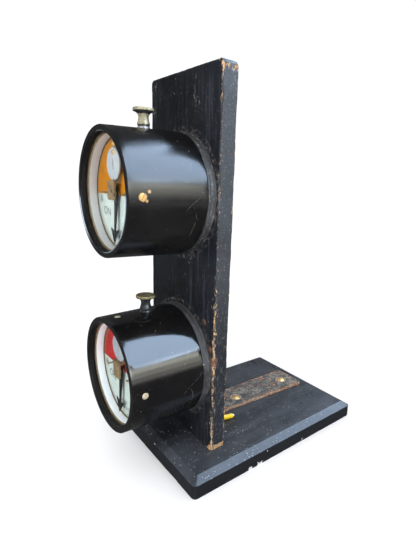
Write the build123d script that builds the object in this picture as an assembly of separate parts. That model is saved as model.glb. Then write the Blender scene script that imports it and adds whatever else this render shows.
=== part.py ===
from build123d import *
import math
import os

# A pair of signal box semaphore repeaters on a wooden stand.  Millimetres, +Z up.
# The origin is the middle of the base board's underside; the dials face -Y.

# Base board and upright board
BASE_W = 194.0
BASE_D = 270.0
BASE_T = 21.0
BEVEL_W = 9.0
BEVEL_H = 5.0
BASE_CORNER = 5.0
UPRIGHT_X = -5.0
UPRIGHT_W = 140.0
UPRIGHT_T = 19.5
UPRIGHT_H = 415.0
UPRIGHT_FRONT_Y = -91.5
UPRIGHT_BACK_Y = UPRIGHT_FRONT_Y + UPRIGHT_T
UPRIGHT_ROUND = 2.0
UPRIGHT_CORNER = 5.5
FOOT_SCREW_X = (-55.0, 45.0)
FOOT_SCREW_RECESS = 0.5
FOOT_SCREW_LENGTH = 46.0

# Iron angle bracket behind the upright
STRAP_T = 4.0
STRAP_LEFT_X = -30.0
STRAP_RIGHT_X_AT_BOARD = 10.5
STRAP_RIGHT_X_AT_END = 20.0
STRAP_END_Y = 114.5
STRAP_CORNER = 3.0
LEG_TOP_Z = 150.0
STRAP_SCREW_AT = ((-4.0, 2.0), (-4.0, 93.0))
LEG_SCREW_AT = ((-10.0, 60.0), (-10.0, 122.0))
STRAP_SCREW_LENGTH = 15.0
STRAP_SHANK_R = 2.3
STRAP_HEAD_R = 4.8
STRAP_HEAD_SINK = 1.6
STRAP_HEAD_RISE = 1.3

# Cut lead, from the elbow's mouth down to the base and along it, and the elbow
LEAD_R = 3.0
LEAD_ROUTE = (
    (19.0, -63.0, 61.0),
    (19.0, -63.0, 48.8),
    (20.7, -58.6, 37.4),
    (23.7, -50.5, 28.8),
    (26.4, -40.6, 24.1),
    (27.6, -30.0, 24.1),
)
CORE_R = 1.6
CORE_LENGTH = 3.0
ELBOW_R = 5.0
ELBOW_DROP = 9.0
ELBOW_FLANGE_R = 8.0
ELBOW_FLANGE_T = 2.0
ELBOW_SPIGOT_DEPTH = 8.0

# Instruments: depths are measured forward from the upright's front face
AXIS_Z = {"upper": 308.6, "lower": 115.1}
BLOCK_R = 66.2
BLOCK_FOOT_R = 66.9
BLOCK_FOOT_T = 2.0
BLOCK_T = 9.0
SPIGOT_R = 60.7
SPIGOT_TOP = 16.0
PLATE_R = 54.0
PLATE_TOP = 18.5
COVER_BORE_R = 61.0
COVER_REAR = 9.25
COVER_REAR_R = 65.7
COVER_FRONT = 91.6
COVER_FRONT_R = 63.5
RIM_ROUND = 1.0
RIM_INNER_R = 57.5
WINDOW_R = 56.0
SEAT = 85.9
GLASS_T = 2.0
GASKET_T = 0.8
INSERT_R = 60.8
DIAL_TOP = 73.2
DIAL_T = 1.2
DIAL_R = 57.4
RING_GAP = 0.25

# Cover fixings
COVER_SCREW_DEPTH = 78.0
COVER_SCREW_HEAD_R = 64.1
COVER_SCREW_LENGTH = 6.6
THUMB_DEPTH = 45.0
BUSH_FLANGE_R = 6.4
BUSH_TOP = 66.6
BUSH_BOTTOM = 59.6
BUSH_R = 4.6
BUSH_BORE_R = 2.55
THUMB_TIP = 58.35
THUMB_SHANK_R = 2.5
THUMB_FOOT = 66.7
THUMB_FOOT_R = 6.6
THUMB_COLLAR_T = 1.5
THUMB_WAIST_R = 5.1
THUMB_WAIST_AT = 75.0
THUMB_UNDER_R = 10.0
THUMB_HEAD_R = 10.6
THUMB_HEAD_T = 3.4
THUMB_TOP = 83.8
KNURL_COUNT = 40
KNURL_R = 0.5

# Mechanism behind the dial
PILLAR_PCD_R = 46.0
PILLAR_ANGLES = (30.0, 150.0, 270.0)
PILLAR_R = 3.5
PILLAR_SPIGOT_R = 1.5
BLOCK_SCREW_PCD_R = 34.0
BLOCK_SCREW_ANGLES = (90.0, 210.0, 330.0)
BLOCK_SCREW_LENGTH = 30.5
STUD_X = 45.0
STUD_R = 2.5
STUD_FRONT = 30.0
STUD_REAR = -UPRIGHT_T - 14.0
COIL_X = 24.0
COIL_R = 13.0
BOBBIN_FLANGE_R = 14.0
CORE_ROD_R = 5.0
YOKE_BOTTOM = 21.0
YOKE_TOP = 26.0
COIL_BOTTOM = 27.0
COIL_TOP = 55.0
CORE_ROD_TOP = 57.0
ARMATURE_BOTTOM = 60.0
ARMATURE_TOP = 65.0
ARMATURE_REACH = 26.0
LUG_TOP = 58.0
LUG_T = 2.5
LUG_FRONT = 52.0

# Pointer and what stands on the dial
ARBOR_R = 1.5
BEARING_R = 1.55
ARBOR_REAR = 16.3
ARBOR_FRONT = 81.0
NEEDLE_BOTTOM = 75.0
NEEDLE_T = 1.0
NEEDLE_LEAN = 3.8
NEEDLE_BEND_AT = 3.0
NEEDLE_COLLAR_T = 1.5
NEEDLE_HALF = 4.5
NEEDLE_NECK_HALF = 1.5
NEEDLE_TAIL = 3.5
BARB_HALF = 9.5
BARB_AT = 35.0
NECK_AT = 38.0
TIP_AT = 50.2
PIN_X = 25.3
PIN_R = 1.0
PIN_TOP = 81.2
BRIDGE_HALF = 7.9
BRIDGE_T = 2.4
BRIDGE_FRONT = 81.5
BRIDGE_HIGH = 12.4
BRIDGE_LOW = -6.6
BRIDGE_FOOT_HIGH = 20.4
BRIDGE_SCREW_X = 4.5
BRIDGE_SCREW_V = 16.4
DISC_R = 15.6
DISC_V = 28.2
DISC_BOTTOM = 76.9
DISC_T = 1.2
HANGER_HALF = 4.0
HANGER_T = 1.2
HANGER_LOW = 34.0
HANGER_HIGH = 51.0
POST_V = 47.0
POST_R = 2.0
DISC_SCREW_V = 39.4
SMALL_SHANK_R = 1.2
SMALL_HEAD_R = 2.6


def save(node, shape):
    """Write one sub-part to its own file."""
    export_step(shape, f"parts/{node}.step")


def bar(radius, low, high, at=(0.0, 0.0)):
    """Round bar along the local Z axis."""
    return Pos(at[0], at[1], (low + high) / 2) * Cylinder(radius, high - low)


def brick(x, y, z):
    """Box between a low and a high value on each axis."""
    middle = [(low + high) / 2 for low, high in (x, y, z)]
    size = [high - low for low, high in (x, y, z)]
    return Pos(*middle) * Box(*size)


def turned(*outline):
    """Solid of revolution about Z from its (radius, height) outline."""
    return revolve(Plane.XZ * make_face(Polyline(*outline, close=True)), Axis.Z)


def polar(radius, angles):
    """Points on a circle, at angles in degrees."""
    turns = [math.radians(angle) for angle in angles]
    return [(radius * math.cos(turn), radius * math.sin(turn)) for turn in turns]


def countersunk(shank, head, length):
    """Screw with a conical head, its face at Z 0 and its point at -length."""
    rise = head - shank
    return turned((0, 0), (head, 0), (shank, -rise), (shank, shank - length), (0, -length))


def round_head(shank, head, rise, length):
    """Screw with a domed head that stands above Z 0."""
    dome = turned((0, 0), (head, 0), (head, 0.45 * rise), (0.6 * head, rise), (0, rise))
    return dome + bar(shank, -length, 0)


def slot(head, width, depth, top=0.0):
    """The driver slot across a screw's head."""
    return brick((-head - 1, head + 1), (-width / 2, width / 2), (top - depth, top + 1))


def on_board(shape, level):
    """Place a shape built about an instrument's axis, local Z forward, on the upright."""
    face = Plane(origin=(UPRIGHT_X, UPRIGHT_FRONT_Y, AXIS_Z[level]), x_dir=(1, 0, 0), z_dir=(0, -1, 0))
    return face.location * shape


def around(shape, angle, depth):
    """Stand a shape built along Z on the case's radius at an angle and a depth."""
    return Pos(0, 0, depth) * Rot(0, 0, angle) * Rot(0, 90, 0) * shape


def base_board():
    plank = extrude(RectangleRounded(BASE_W, BASE_D, BASE_CORNER), BASE_T - BEVEL_H)
    low = Pos(0, 0, BASE_T - BEVEL_H) * RectangleRounded(BASE_W, BASE_D, BASE_CORNER)
    high = Pos(0, 0, BASE_T) * RectangleRounded(BASE_W - 2 * BEVEL_W, BASE_D - 2 * BEVEL_W, 1.0)
    plank = plank + loft([low.face(), high.face()], ruled=True)
    return plank - foot_screws(False) - bracket_screws(False)


def upright_board():
    x = (UPRIGHT_X - UPRIGHT_W / 2, UPRIGHT_X + UPRIGHT_W / 2)
    board = brick(x, (UPRIGHT_FRONT_Y, UPRIGHT_BACK_Y), (BASE_T, BASE_T + UPRIGHT_H))
    top_corners = board.edges().filter_by(Axis.Y).sort_by(Axis.Z)[-2:]
    board = fillet(top_corners, UPRIGHT_CORNER)
    long_edges = board.edges().filter_by(Axis.Z)
    board = fillet(long_edges, UPRIGHT_ROUND)
    for level in AXIS_Z:
        board -= on_board(block_screws(False), level)
        board -= on_board(stud_holes(), level)
    return board - foot_screws(False) - bracket_screws(False) - elbow_spigot()


def foot_screws(with_slot):
    """Two long wood screws up through the base into the upright's end."""
    middle_y = (UPRIGHT_FRONT_Y + UPRIGHT_BACK_Y) / 2
    screw = countersunk(2.4, 5.0, FOOT_SCREW_LENGTH)
    if with_slot:
        screw -= slot(5.0, 1.2, 1.3)
    placed = []
    for x in FOOT_SCREW_X:
        placed.append(Pos(x, middle_y, FOOT_SCREW_RECESS) * Rot(180, 0, 0) * screw)
    recess = []
    if not with_slot:
        recess = [bar(5.0, -1, FOOT_SCREW_RECESS, (x, middle_y)) for x in FOOT_SCREW_X]
    return Part() + placed + recess


def at_bracket_holes(shape):
    """Copies of a shape, its Z 0 on the iron's face, at the strap's and the leg's holes."""
    placed = []
    for number, (x, y) in enumerate(STRAP_SCREW_AT):
        placed.append(Pos(x, y, BASE_T + STRAP_T) * Rot(0, 0, 35 + 70 * number) * shape)
    for number, (x, z) in enumerate(LEG_SCREW_AT):
        turn = Rot(-90, 0, 0) * Rot(0, 0, 20 + 55 * number)
        placed.append(Pos(x, UPRIGHT_BACK_Y + STRAP_T, z) * turn * shape)
    return Part() + placed


def bracket_screws(with_slot):
    """Wood screws through the strap into the base and through the leg into the upright."""
    rise = STRAP_HEAD_RISE
    screw = countersunk(STRAP_SHANK_R, STRAP_HEAD_R, STRAP_SCREW_LENGTH)
    screw += turned((0, 0), (STRAP_HEAD_R, 0), (0.75 * STRAP_HEAD_R, 0.6 * rise),
                    (0.3 * STRAP_HEAD_R, rise), (0, rise))
    if with_slot:
        screw -= slot(STRAP_HEAD_R, 1.2, 1.2, rise)
    return at_bracket_holes(Pos(0, 0, -STRAP_HEAD_SINK) * screw)


def bracket_holes():
    """Countersunk holes, wider at the face than the heads that sit down in them."""
    hole = countersunk(STRAP_SHANK_R, STRAP_HEAD_R + STRAP_HEAD_SINK, STRAP_T + 1)
    return at_bracket_holes(hole)


def angle_bracket():
    """Flat iron bent to an L: a tapering strap on the base and a leg up the upright."""
    strap = Polyline((STRAP_LEFT_X, UPRIGHT_BACK_Y), (STRAP_RIGHT_X_AT_BOARD, UPRIGHT_BACK_Y),
                     (STRAP_RIGHT_X_AT_END, STRAP_END_Y), (STRAP_LEFT_X, STRAP_END_Y), close=True)
    strap = Pos(0, 0, BASE_T) * extrude(make_face(strap), STRAP_T)
    ends = strap.edges().filter_by(Axis.Z).sort_by(Axis.Y)[-2:]
    strap = fillet(ends, STRAP_CORNER)
    leg = brick((STRAP_LEFT_X, STRAP_RIGHT_X_AT_BOARD), (UPRIGHT_BACK_Y, UPRIGHT_BACK_Y + STRAP_T),
                (BASE_T, LEG_TOP_Z))
    leg = fillet(leg.edges().filter_by(Axis.Y).sort_by(Axis.Z)[-2:], STRAP_CORNER)
    return strap + leg - bracket_holes()


def lead_radii():
    """As large a bend at each corner of the lead's route as its two runs allow."""
    points = [Vector(*point) for point in LEAD_ROUTE]
    runs = [after - before for before, after in zip(points, points[1:])]
    radii = []
    for before, after in zip(runs, runs[1:]):
        half_turn = math.radians(before.get_angle(after) / 2)
        radii.append(0.45 * min(before.length, after.length) / math.tan(half_turn))
    return radii


def yellow_lead():
    radii = lead_radii()
    line = FilletPolyline(*LEAD_ROUTE, radius=radii)
    tube = sweep(Plane(origin=line @ 0, z_dir=line % 0) * Circle(LEAD_R), line)
    print("lead bend radii", [round(radius, 1) for radius in radii], "length", round(line.length, 1))
    print("lead volume", round(tube.volume, 1), "expected", round(math.pi * LEAD_R**2 * line.length, 1))
    return tube


def lead_core():
    """The white inner wire that stands out of the lead's cut end."""
    heading = Vector(*LEAD_ROUTE[-1]) - Vector(*LEAD_ROUTE[-2])
    return Plane(origin=LEAD_ROUTE[-1], z_dir=heading).location * bar(CORE_R, 0, CORE_LENGTH)


def elbow_spigot():
    x, _, mouth_z = LEAD_ROUTE[0]
    start = Plane(origin=(x, UPRIGHT_BACK_Y, mouth_z + ELBOW_DROP), z_dir=(0, -1, 0))
    return start.location * bar(ELBOW_R - 0.5, 0, ELBOW_SPIGOT_DEPTH)


def cable_elbow():
    """Brass elbow that turns the lead down from the hole in the upright."""
    x, y, mouth_z = LEAD_ROUTE[0]
    middle_z = mouth_z + ELBOW_DROP
    start = Plane(origin=(x, UPRIGHT_BACK_Y, middle_z), z_dir=(0, 1, 0))
    neck = start.location * bar(ELBOW_R, 0, y - UPRIGHT_BACK_Y)
    flange = start.location * bar(ELBOW_FLANGE_R, 0, ELBOW_FLANGE_T)
    ball = Pos(x, y, middle_z) * Sphere(ELBOW_R)
    mouth = bar(ELBOW_R, mouth_z, middle_z, (x, y))
    lip = bar(ELBOW_R + 0.8, mouth_z, mouth_z + 2.5, (x, y))
    return elbow_spigot() + neck + flange + ball + mouth + lip


def mounting_block():
    """Turned block that carries the instrument, with a spigot for the cover."""
    block = turned((0, 0), (BLOCK_FOOT_R, 0), (BLOCK_FOOT_R, BLOCK_FOOT_T), (BLOCK_R, BLOCK_FOOT_T),
                   (BLOCK_R, BLOCK_T), (SPIGOT_R, BLOCK_T), (SPIGOT_R, SPIGOT_TOP), (0, SPIGOT_TOP))
    return block - block_screws(False) - stud_holes()


def block_screws(with_slot):
    screw = countersunk(2.2, 4.2, BLOCK_SCREW_LENGTH)
    if with_slot:
        screw -= slot(4.2, 1.0, 1.0)
    places = polar(BLOCK_SCREW_PCD_R, BLOCK_SCREW_ANGLES)
    return Part() + [Pos(x, y, PLATE_TOP) * screw for x, y in places]


def stud_holes():
    return Part() + [bar(STUD_R, STUD_REAR, STUD_FRONT, (side * STUD_X, 0)) for side in (-1, 1)]


def terminals():
    """Two studs through the upright, nutted in front and with a wire nut behind."""
    back = -UPRIGHT_T
    made = []
    for side in (-1, 1):
        at = (side * STUD_X, 0)
        front_nut = Pos(*at, PLATE_TOP) * extrude(RegularPolygon(4.6, 6), 4)
        rear_nut = Pos(*at, back - 5.2) * extrude(RegularPolygon(4.6, 6), 4)
        washer = bar(6.0, back - 1.2, back, at)
        wire_nut = bar(5.2, back - 11, back - 6, at)
        made.append(bar(STUD_R, STUD_REAR, STUD_FRONT, at) + front_nut + rear_nut + washer + wire_nut)
    return Part() + made


def backplate():
    plate = bar(PLATE_R, SPIGOT_TOP, PLATE_TOP) - bar(BEARING_R, SPIGOT_TOP, PLATE_TOP)
    return plate - block_screws(False) - stud_holes() - pillars()


def pillars():
    """Three posts that carry the dial, riveted flush into it and into the backplate."""
    post = turned((0, SPIGOT_TOP), (PILLAR_SPIGOT_R + 1, SPIGOT_TOP), (PILLAR_SPIGOT_R + 1, PLATE_TOP),
                  (PILLAR_R, PLATE_TOP), (PILLAR_R, DIAL_TOP - DIAL_T),
                  (PILLAR_SPIGOT_R, DIAL_TOP - DIAL_T), (PILLAR_SPIGOT_R, DIAL_TOP), (0, DIAL_TOP))
    return Part() + [Pos(x, y, 0) * post for x, y in polar(PILLAR_PCD_R, PILLAR_ANGLES)]


def screw_lug():
    """Strap on the backplate that the thumbscrew's point bears on."""
    foot = brick((-7, 7), (43, LUG_TOP), (PLATE_TOP, PLATE_TOP + LUG_T))
    return foot + brick((-7, 7), (LUG_TOP - LUG_T, LUG_TOP), (PLATE_TOP, LUG_FRONT))


def magnet_yoke():
    """Soft iron bar with the two coil cores, standing on the backplate."""
    yoke = brick((-31, 31), (-7, 7), (YOKE_BOTTOM, YOKE_TOP)) - bar(5, YOKE_BOTTOM, YOKE_TOP)
    for side in (-1, 1):
        yoke += bar(4, PLATE_TOP, YOKE_BOTTOM, (side * 12, 0))
        yoke += bar(CORE_ROD_R, YOKE_TOP, CORE_ROD_TOP, (side * COIL_X, 0))
    return yoke


def coils():
    """Two wound bobbins on the cores."""
    reel = turned((CORE_ROD_R + 0.2, COIL_BOTTOM), (BOBBIN_FLANGE_R, COIL_BOTTOM),
                  (BOBBIN_FLANGE_R, COIL_BOTTOM + 1.5), (COIL_R, COIL_BOTTOM + 1.5),
                  (COIL_R, COIL_TOP - 1.5), (BOBBIN_FLANGE_R, COIL_TOP - 1.5),
                  (BOBBIN_FLANGE_R, COIL_TOP), (CORE_ROD_R + 0.2, COIL_TOP))
    return Part() + [Pos(side * COIL_X, 0, 0) * reel for side in (-1, 1)]


def armature():
    """Magnetised bar on the arbor, in front of the cores."""
    reach = ARMATURE_REACH
    outline = Polyline((-4.5, -reach + 6), (0, -reach), (4.5, -reach + 6),
                       (4.5, reach - 6), (0, reach), (-4.5, reach - 6), close=True)
    bar_magnet = extrude(make_face(outline), ARMATURE_TOP - ARMATURE_BOTTOM)
    return Pos(0, 0, ARMATURE_BOTTOM) * bar_magnet - bar(ARBOR_R, ARMATURE_BOTTOM, ARMATURE_TOP)


def arbor():
    shaft = bar(ARBOR_R, ARBOR_REAR, ARBOR_FRONT)
    collar = bar(3.5, NEEDLE_BOTTOM - NEEDLE_COLLAR_T, NEEDLE_BOTTOM)
    rear_collar = bar(3.0, ARMATURE_BOTTOM - 2, ARMATURE_BOTTOM)
    nut_low = NEEDLE_BOTTOM + NEEDLE_T
    return shaft + collar + rear_collar + bar(2.5, nut_low, nut_low + 0.5)


def needle():
    """Black arrow that hangs straight down at rest, its blade bent a little forward of its hub."""
    square = Polyline((-NEEDLE_HALF, NEEDLE_TAIL), (NEEDLE_HALF, NEEDLE_TAIL),
                      (NEEDLE_HALF, -NEEDLE_BEND_AT), (-NEEDLE_HALF, -NEEDLE_BEND_AT), close=True)
    hub = extrude(make_face(square) + Pos(0, NEEDLE_TAIL, 0) * Circle(NEEDLE_HALF), NEEDLE_T)
    outline = Polyline((-NEEDLE_HALF, 0), (NEEDLE_HALF, 0), (NEEDLE_NECK_HALF, NEEDLE_BEND_AT - NECK_AT),
                       (BARB_HALF, NEEDLE_BEND_AT - BARB_AT), (0, NEEDLE_BEND_AT - TIP_AT),
                       (-BARB_HALF, NEEDLE_BEND_AT - BARB_AT),
                       (-NEEDLE_NECK_HALF, NEEDLE_BEND_AT - NECK_AT), close=True)
    blade = Pos(0, -NEEDLE_BEND_AT, 0) * Rot(-NEEDLE_LEAN, 0, 0) * extrude(make_face(outline), NEEDLE_T)
    arrow = Pos(0, 0, NEEDLE_BOTTOM) * (hub + blade)
    return arrow - bar(ARBOR_R, NEEDLE_BOTTOM, NEEDLE_BOTTOM + NEEDLE_T)


def dial():
    low = DIAL_TOP - DIAL_T
    plate = bar(DIAL_R, low, DIAL_TOP) - bar(3.0, low, DIAL_TOP)
    return plate - pillars() - stop_pins() - bridge_screws(False) - disc_hanger()


def stop_pins():
    top = PIN_TOP
    pin = turned((0, DIAL_TOP - DIAL_T), (PIN_R, DIAL_TOP - DIAL_T), (PIN_R, top - 0.6), (0.5, top), (0, top))
    return Part() + [Pos(side * PIN_X, 0, 0) * pin for side in (-1, 1)]


def bridge():
    """Cranked brass strap that holds the arbor's front pivot."""
    width = (-BRIDGE_HALF, BRIDGE_HALF)
    front = brick(width, (BRIDGE_LOW, BRIDGE_HIGH), (BRIDGE_FRONT - BRIDGE_T, BRIDGE_FRONT))
    front = fillet(front.edges().filter_by(Axis.Z).sort_by(Axis.Y)[:2], 3.0)
    leg = brick(width, (BRIDGE_HIGH - BRIDGE_T, BRIDGE_HIGH), (DIAL_TOP, BRIDGE_FRONT - BRIDGE_T))
    foot = brick(width, (BRIDGE_HIGH - BRIDGE_T, BRIDGE_FOOT_HIGH), (DIAL_TOP, DIAL_TOP + BRIDGE_T))
    strap = front + leg + foot
    outer_bend = strap.edges().filter_by(Axis.X).sort_by_distance((0, BRIDGE_HIGH, BRIDGE_FRONT))[:1]
    strap = fillet(outer_bend, 1.6)
    return strap - bar(BEARING_R, BRIDGE_FRONT - BRIDGE_T, BRIDGE_FRONT) - bridge_screws(False)


def bridge_screws(with_slot):
    screw = round_head(SMALL_SHANK_R, 2.0, 1.2, DIAL_T + BRIDGE_T + 2)
    if with_slot:
        screw -= slot(2.0, 0.5, 0.6, 1.2)
    top = DIAL_TOP + BRIDGE_T
    return Part() + [Pos(side * BRIDGE_SCREW_X, BRIDGE_SCREW_V, top) * screw for side in (-1, 1)]


def index_disc():
    """White disc above the pointer's pivot."""
    disc = bar(DISC_R, DISC_BOTTOM, DISC_BOTTOM + DISC_T, (0, DISC_V))
    low = DISC_V - DISC_R
    notch = brick((-1.0, 1.0), (low - 1, low + 1.6), (DISC_BOTTOM - 1, DISC_BOTTOM + DISC_T + 1))
    return disc - notch - disc_screws(False)


def disc_hanger():
    low = DISC_BOTTOM - HANGER_T
    strip = brick((-HANGER_HALF, HANGER_HALF), (HANGER_LOW, HANGER_HIGH), (low, DISC_BOTTOM))
    strip = fillet(strip.edges().filter_by(Axis.Z), 1.5)
    post = bar(POST_R, DIAL_TOP, low, (0, POST_V))
    rivet = bar(SMALL_SHANK_R, DIAL_TOP - DIAL_T, DIAL_TOP, (0, POST_V))
    return strip + post + rivet - disc_screws(False)


def disc_screws(with_slot):
    screw = round_head(SMALL_SHANK_R, SMALL_HEAD_R, 1.5, DISC_T + HANGER_T)
    if with_slot:
        screw -= slot(SMALL_HEAD_R, 0.7, 0.8, 1.5)
    lower = Pos(0, DISC_SCREW_V, DISC_BOTTOM + DISC_T) * screw
    upper = Pos(0, POST_V, DISC_BOTTOM) * Rot(0, 0, 60) * screw
    return Part() + [lower, upper]


def cover():
    """Black case: a drawn cup with a flat rim round its deep-set window."""
    shell = turned((COVER_BORE_R, COVER_REAR), (COVER_REAR_R, COVER_REAR),
                   (COVER_FRONT_R, COVER_FRONT - RIM_ROUND), (COVER_FRONT_R - RIM_ROUND, COVER_FRONT),
                   (RIM_INNER_R, COVER_FRONT), (WINDOW_R, SEAT), (COVER_BORE_R, SEAT))
    return shell - cover_screws(False) - around(bush_body(), 90, THUMB_DEPTH)


def cover_screws(with_slot):
    screw = countersunk(1.5, 3.3, COVER_SCREW_LENGTH)
    if with_slot:
        screw -= slot(3.3, 0.8, 0.8)
    placed = []
    for number in range(4):
        standing = Pos(0, 0, COVER_SCREW_HEAD_R) * Rot(0, 0, 25 + 50 * number) * screw
        placed.append(around(standing, 90 * number, COVER_SCREW_DEPTH))
    if not with_slot:
        outer = bar(3.3, COVER_SCREW_HEAD_R, COVER_SCREW_HEAD_R + 1)
        placed += [around(outer, 90 * number, COVER_SCREW_DEPTH) for number in range(4)]
    return Part() + placed


def glass():
    return bar(INSERT_R, SEAT - GLASS_T, SEAT)


def glass_gasket():
    top = SEAT - GLASS_T
    return bar(INSERT_R, top - GASKET_T, top) - bar(WINDOW_R + 0.2, top - GASKET_T, top)


def reflector_ring():
    """White ring that fills the space between the glass and the dial."""
    top = SEAT - GLASS_T - GASKET_T
    low = DIAL_TOP + RING_GAP
    return bar(INSERT_R, low, top) - bar(WINDOW_R, low, top) - cover_screws(False)


def bush_body():
    return bar(BUSH_FLANGE_R, 63.0, BUSH_TOP) + bar(BUSH_R, BUSH_BOTTOM, 63.0)


def screw_bush():
    """Threaded bush, soldered into the cover's top, that the thumbscrew works in."""
    bush = bush_body() - bar(BUSH_BORE_R, BUSH_BOTTOM, BUSH_TOP)
    return around(bush, 90, THUMB_DEPTH)


def thumbscrew():
    """Knurled head on a stem that narrows to a waist, with a plain shank below its collar."""
    head_low = THUMB_TOP - THUMB_HEAD_T
    head = turned((0, head_low), (THUMB_HEAD_R - 0.7, head_low), (THUMB_HEAD_R, head_low + 0.7),
                  (THUMB_HEAD_R, THUMB_TOP - 0.7), (THUMB_HEAD_R - 0.7, THUMB_TOP), (0, THUMB_TOP))
    for x, y in polar(THUMB_HEAD_R + 0.1, [360 / KNURL_COUNT * step for step in range(KNURL_COUNT)]):
        head -= bar(KNURL_R, head_low - 1, THUMB_TOP + 1, (x, y))
    collar_top = THUMB_FOOT + THUMB_COLLAR_T
    waist = ThreePointArc((THUMB_FOOT_R, collar_top), (THUMB_WAIST_R, THUMB_WAIST_AT),
                          (THUMB_UNDER_R, head_low))
    foot = Polyline((THUMB_UNDER_R, head_low), (0, head_low), (0, THUMB_FOOT),
                    (THUMB_FOOT_R, THUMB_FOOT), (THUMB_FOOT_R, collar_top))
    body = revolve(Plane.XZ * make_face([waist, foot]), Axis.Z)
    shank = turned((0, THUMB_TIP), (THUMB_SHANK_R - 0.8, THUMB_TIP), (THUMB_SHANK_R, THUMB_TIP + 0.8),
                   (THUMB_SHANK_R, THUMB_FOOT), (0, THUMB_FOOT))
    return around(head + body + shank, 90, THUMB_DEPTH)


def write_stand():
    save("base_board", base_board())
    save("upright_board", upright_board())
    save("angle_bracket", angle_bracket())
    save("bracket_screws", bracket_screws(True))
    save("foot_screws", foot_screws(True))
    save("cable_elbow", cable_elbow())
    save("yellow_lead", yellow_lead())
    save("lead_core", lead_core())


def write_instruments():
    pieces = {
        "mounting_block": mounting_block(),
        "block_screws": block_screws(True),
        "backplate": backplate(),
        "pillars": pillars(),
        "terminals": terminals(),
        "screw_lug": screw_lug(),
        "magnet_yoke": magnet_yoke(),
        "coils": coils(),
        "armature": armature(),
        "arbor": arbor(),
        "needle": needle(),
        "dial": dial(),
        "stop_pins": stop_pins(),
        "bridge": bridge(),
        "bridge_screws": bridge_screws(True),
        "index_disc": index_disc(),
        "disc_hanger": disc_hanger(),
        "disc_screws": disc_screws(True),
        "cover": cover(),
        "cover_screws": cover_screws(True),
        "glass": glass(),
        "glass_gasket": glass_gasket(),
        "reflector_ring": reflector_ring(),
        "screw_bush": screw_bush(),
        "thumbscrew": thumbscrew(),
    }
    for level in AXIS_Z:
        for name, shape in pieces.items():
            save(f"{level}_{name}", on_board(shape, level))


os.makedirs("parts", exist_ok=True)
write_stand()
write_instruments()
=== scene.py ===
import math

import bmesh
import bpy
from mathutils import Matrix, Vector, noise


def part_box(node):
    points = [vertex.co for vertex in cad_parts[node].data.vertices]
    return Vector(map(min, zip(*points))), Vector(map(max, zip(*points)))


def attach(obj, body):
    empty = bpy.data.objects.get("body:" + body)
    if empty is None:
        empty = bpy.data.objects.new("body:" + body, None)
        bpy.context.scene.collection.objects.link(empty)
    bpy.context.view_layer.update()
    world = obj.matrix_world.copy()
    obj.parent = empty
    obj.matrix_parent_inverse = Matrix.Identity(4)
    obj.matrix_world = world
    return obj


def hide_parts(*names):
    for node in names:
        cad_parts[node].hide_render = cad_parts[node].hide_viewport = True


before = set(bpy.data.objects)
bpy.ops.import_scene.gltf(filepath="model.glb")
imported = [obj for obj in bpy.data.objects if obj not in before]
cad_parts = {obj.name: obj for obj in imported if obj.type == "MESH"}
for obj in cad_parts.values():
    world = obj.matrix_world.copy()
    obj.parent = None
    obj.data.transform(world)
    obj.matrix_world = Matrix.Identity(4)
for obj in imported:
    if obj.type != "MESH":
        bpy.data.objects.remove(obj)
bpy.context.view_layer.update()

MM = 0.001
LEVELS = ("upper", "lower")
BASE_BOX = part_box("base_board")
UPRIGHT_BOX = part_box("upright_board")
STRAP_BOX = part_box("angle_bracket")
FACE_Y = UPRIGHT_BOX[0].y
AXIS = {level: (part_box(f"{level}_glass")[0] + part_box(f"{level}_glass")[1]) / 2 for level in LEVELS}
AXIS_X = AXIS["upper"].x


def span(node):
    """How far a node's rear and its front stand forward of the upright's face, in millimetres."""
    return [(FACE_Y - corner.y) / MM for corner in reversed(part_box(node))]


REAR, RIM = span("upper_cover")
GLASS_REAR, SEAT = span("upper_glass")
RING_REAR, RING_FRONT = span("upper_reflector_ring")
DIAL_REAR, DIAL_FRONT = span("upper_dial")

# Radii, thicknesses and places in millimetres that more than one function uses
INSERT_R = 60.8
WINDOW_R = 56
COVER_SCREW_DEPTH = 78
THUMB_DEPTH = 45
STUD_X = 45
DISC_R = 15.6
BRIDGE_T = 2.4
# Edges that turn by more degrees than this are drawn sharp
SHARP = 38


def shift(x, y, z):
    """A move by millimetres."""
    return Matrix.Translation((x * MM, y * MM, z * MM))


def turned_by(angle):
    return Matrix.Rotation(math.radians(angle), 4, "Z")


def on_board(level):
    """From an instrument's own axes, Z forward and Y up, to the frame's."""
    turn = Matrix(((1, 0, 0), (0, 0, -1), (0, 1, 0))).to_4x4()
    return Matrix.Translation((AXIS_X, FACE_Y, AXIS[level].z)) @ turn


def radial(angle, forward):
    """Stands a piece built along Z on the case's radius, at an angle and a depth."""
    return shift(0, 0, forward) @ turned_by(angle) @ Matrix.Rotation(math.pi / 2, 4, "Y")


def bracket_hole_places():
    """Where the strap's and the leg's holes are: local Z 0 on the iron's face, Z outward."""
    strap_x, strap_top, leg_x, leg_back = -4, 25, -10, -68
    up = Matrix.Rotation(-math.pi / 2, 4, "X")
    places = [shift(strap_x, y, strap_top) for y in (2, 93)]
    return places + [shift(leg_x, leg_back, z) @ up for z in (60, 122)]


def foot_screw_places():
    """Middles of the screws' heads on the base's underside."""
    head_r = 5 * MM
    low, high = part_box("foot_screws")
    return [Vector((x, (low.y + high.y) / 2, low.z)) for x in (low.x + head_r, high.x - head_r)]


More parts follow.
